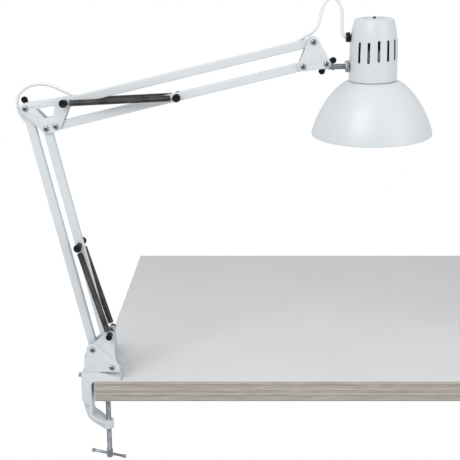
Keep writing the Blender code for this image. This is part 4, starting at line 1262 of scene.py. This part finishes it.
def add_neck():
    top = [(0.0, 66.6), (12.0, 66.5), (22.0, 66.25), (25.2, 66.0), (26.8, 65.4), (27.7, 64.4)]
    side = spread([(28.1, 62.8), (31.0, 52.0), (33.0, 38.0), (33.9, 16.0), (34.2, -4.0), (34.3, -19.2)], 4.0)
    outer = top + side + [(34.2, NECK_BOTTOM + 0.1), (33.9, NECK_BOTTOM)]
    inner = [(33.2, NECK_BOTTOM)] + [(r - WALL, z) for r, z in reversed(side)] + [(26.4, 63.9), (24.6, 64.8),
                                                                                 (12.0, 65.2), (0.0, 65.3)]
    neck = turned("neck_shell", outer + inner, (0, 0, 0), UP, 120)
    cutters = []
    for i in range(VENTS):
        angle = math.radians(-86 + i * 360 / VENTS)
        if math.cos(angle) < -0.88 or math.sin(angle) > 0.9:
            continue
        drop = 2.2 if math.cos(angle) < 0 else 0.0
        bm = prism_mesh(slot_outline(1.9, 9.6 - drop, 39.1 - drop), 24.0, 44.0)
        turn = Matrix.Rotation(angle - math.pi / 2, 3, "Z")
        bmesh.ops.rotate(bm, cent=(0, 0, 0), matrix=turn, verts=bm.verts)
        cutters.append(finish_mesh("vent", bm))
    cutters.append(rod("stem_hole", (-50, 0, 0), (-20, 0, 0), 4.5, 32))
    cutters.append(rod("gland_hole", (-50, 0, GLAND_Z), (-20, 0, GLAND_Z), 3.6, 28))
    hole = [(-6.6, 28.5), (6.6, 28.5), (6.6, 49.5), (-6.6, 49.5)]
    cutters.append(finish_mesh("switch_hole", prism_mesh(hole, 22.0, 50.0)))
    cutters.append(rod("cap_hole", (0, 0, 60.0), (0, 0, 70.0), 2.4, 24))
    for middle in (35.0, 145.0):
        outline = []
        for r, order in ((15.3, range(17)), (12.7, range(16, -1, -1))):
            outline += [along(middle - 21.0 + 42.0 * k / 16, r) for k in order]
        cutters.append(finish_mesh("cap_slot", prism_mesh(outline, 60.0, 70.0, axis="Z")))
    combine(neck, cutters)
    place(neck, SHEET, "neck_cover")
    # Painted shade: the neck's inner surface, the walls of its vents and cap slots and the cap's underside
    # get the near-black shade material.
    neck.data.materials.append(PAINTED_SHADE)
    for face in neck.data.polygons:
        middle = Vector(face.center) / MM
        reach = math.hypot(middle.x, middle.y)
        side = middle.z < 62.0 and (face.normal.x * middle.x + face.normal.y * middle.y) / reach < 0.5
        cap = middle.z > 62.0 and face.normal.z < 0.3 and reach < 25.0
        if side or cap:
            face.material_index = 1
    set_head(neck)
    profile = [(0.0, 60.0), (2.3, 60.0), (2.3, 67.6), (2.0, 68.4), (1.2, 68.9), (0.0, 69.0)]
    screw = turned("cap_screw", profile, (0, 0, 0), UP, 32)
    place(set_head(screw), BLACK, slot_of="cord_gland")


def add_shade():
    curve = spread([(33.0, -20.4), (42.9, -25.4), (54.6, -35.6), (66.1, -49.8), (76.3, -67.3), (83.0, -82.0),
                    (86.7, -94.0)], 3.0)
    outer = [(20.2, -20.15), (31.0, -20.2)] + curve
    rim = [(87.3, -96.2), (87.6, -97.5), (87.4, -98.3), (86.9, -98.5), (86.4, -98.2), (86.1, -97.0)]
    inner = [(r - 1.1, z - 0.5) for r, z in reversed(curve[1:])] + [(31.0, -21.4), (20.2, -21.4)]
    profile = outer + rim + inner
    shade = turned("shade_shell", profile, (0, 0, 0), UP, 128, closed=True, sharp=50.0)
    place(set_head(shade), SHEET, "shade")
    shade.data.materials.append(LINING)
    axis = HEAD_MATRIX.to_3x3() @ Vector((0, 0, 1))
    centre = HEAD_MATRIX.to_translation() * MM
    for face in shade.data.polygons:
        offset = Vector(face.center) - centre
        outward = offset - axis * offset.dot(axis)
        if outward.dot(face.normal) < 0 or (face.normal.dot(axis) < -0.3 and outward.length < 0.084):
            face.material_index = 1


def add_lamp_holder():
    profile = [(0.0, 22.0), (15.0, 22.0), (16.6, 21.4), (19.2, 17.6), (19.2, -21.8), (24.4, -21.8),
               (25.0, -22.4), (25.0, -26.0), (24.4, -26.8), (17.0, -27.2), (16.4, -28.0),
               (16.4, -37.4), (15.8, -38.0), (14.4, -38.0), (13.9, -37.5), (13.9, 8.0), (0.0, 8.0)]
    socket = turned("holder", profile, (0, 0, 0), UP, 56)
    place(set_head(socket), CERAMIC, "lamp_socket")
    glass = spread([(12.2, -36.0), (13.6, -40.0), (16.4, -44.0), (21.4, -49.5), (26.6, -55.8),
                    (29.6, -63.0), (29.8, -70.0), (27.6, -77.6), (23.2, -84.2), (16.6, -89.0),
                    (8.6, -91.6), (2.0, -92.0)], 3.0)
    bulb = turned("bulb_glass", [(0.0, -35.0)] + glass + [(0.0, -92.0)], (0, 0, 0), UP, 64)
    place(set_head(bulb), OPAL, "bulb")
    cap = threaded("bulb_cap", 13.2, 1.0, 3.6, 25.0, (0, 0, -35.5), UP, 40, 8)
    place(set_head(cap), ZINC, slot_of="bulb")
    profile = [(0.0, -11.0), (12.0, -11.0), (9.0, 1.0), (5.0, 4.0), (4.6, 6.0), (0.0, 6.2)]
    tip = turned("bulb_contact", profile, (0, 0, 0), UP)
    place(set_head(tip), BLACK, slot_of="lamp_socket")


def add_neck_fittings():
    gland = [(0.0, -31.6), (3.2, -31.6), (3.2, -33.6), (6.5, -33.6), (6.9, -34.0), (6.9, -38.2), (6.6, -39.0),
             (6.0, -39.5), (3.0, -39.6), (2.7, -38.8), (0.0, -38.8)]
    place(set_head(turned("gland", gland, (0, 0, GLAND_Z), (1, 0, 0), 40)), BLACK, "cord_gland")
    side = [(27.5, -9.6), (34.6, -9.6), (34.9, -8.6), (33.6, -3.0), (33.4, 0.0), (33.6, 3.0), (34.9, 8.6),
            (34.6, 9.6), (27.5, 9.6)]
    rocker = finish_mesh("rocker", prism_mesh([(y, z + 39.0) for y, z in side], -6.2, 6.2, axis="X"))
    place(set_head(soften(rocker, 0.4)), BLACK, "switch_rocker")
    outer = [(-8.0, 26.8), (8.0, 26.8), (8.0, 51.2), (-8.0, 51.2)]
    inner = [(-6.45, 28.6), (6.45, 28.6), (6.45, 49.4), (-6.45, 49.4)]
    frame = prism_mesh(rounded(outer, 1.2, 4), 31.6, 34.2, [rounded(inner, 0.6, 3)])
    bezel = finish_mesh("switch_bezel", frame)
    place(set_head(soften(bezel, 0.3)), BLACK, slot_of="switch_rocker", body="head")


add_camera()
add_table()
add_world()
add_softboxes()
add_elbow_cord()
add_head_cord()
add_mains_cord()
add_clamp()
add_clamp_screw()
add_base()
add_spring_posts()
add_strain_relief()
add_lower_arm()
add_elbow()
add_upper_arm()
add_springs()
add_head_bracket()
add_stem()
add_neck()
add_shade()
add_lamp_holder()
add_neck_fittings()
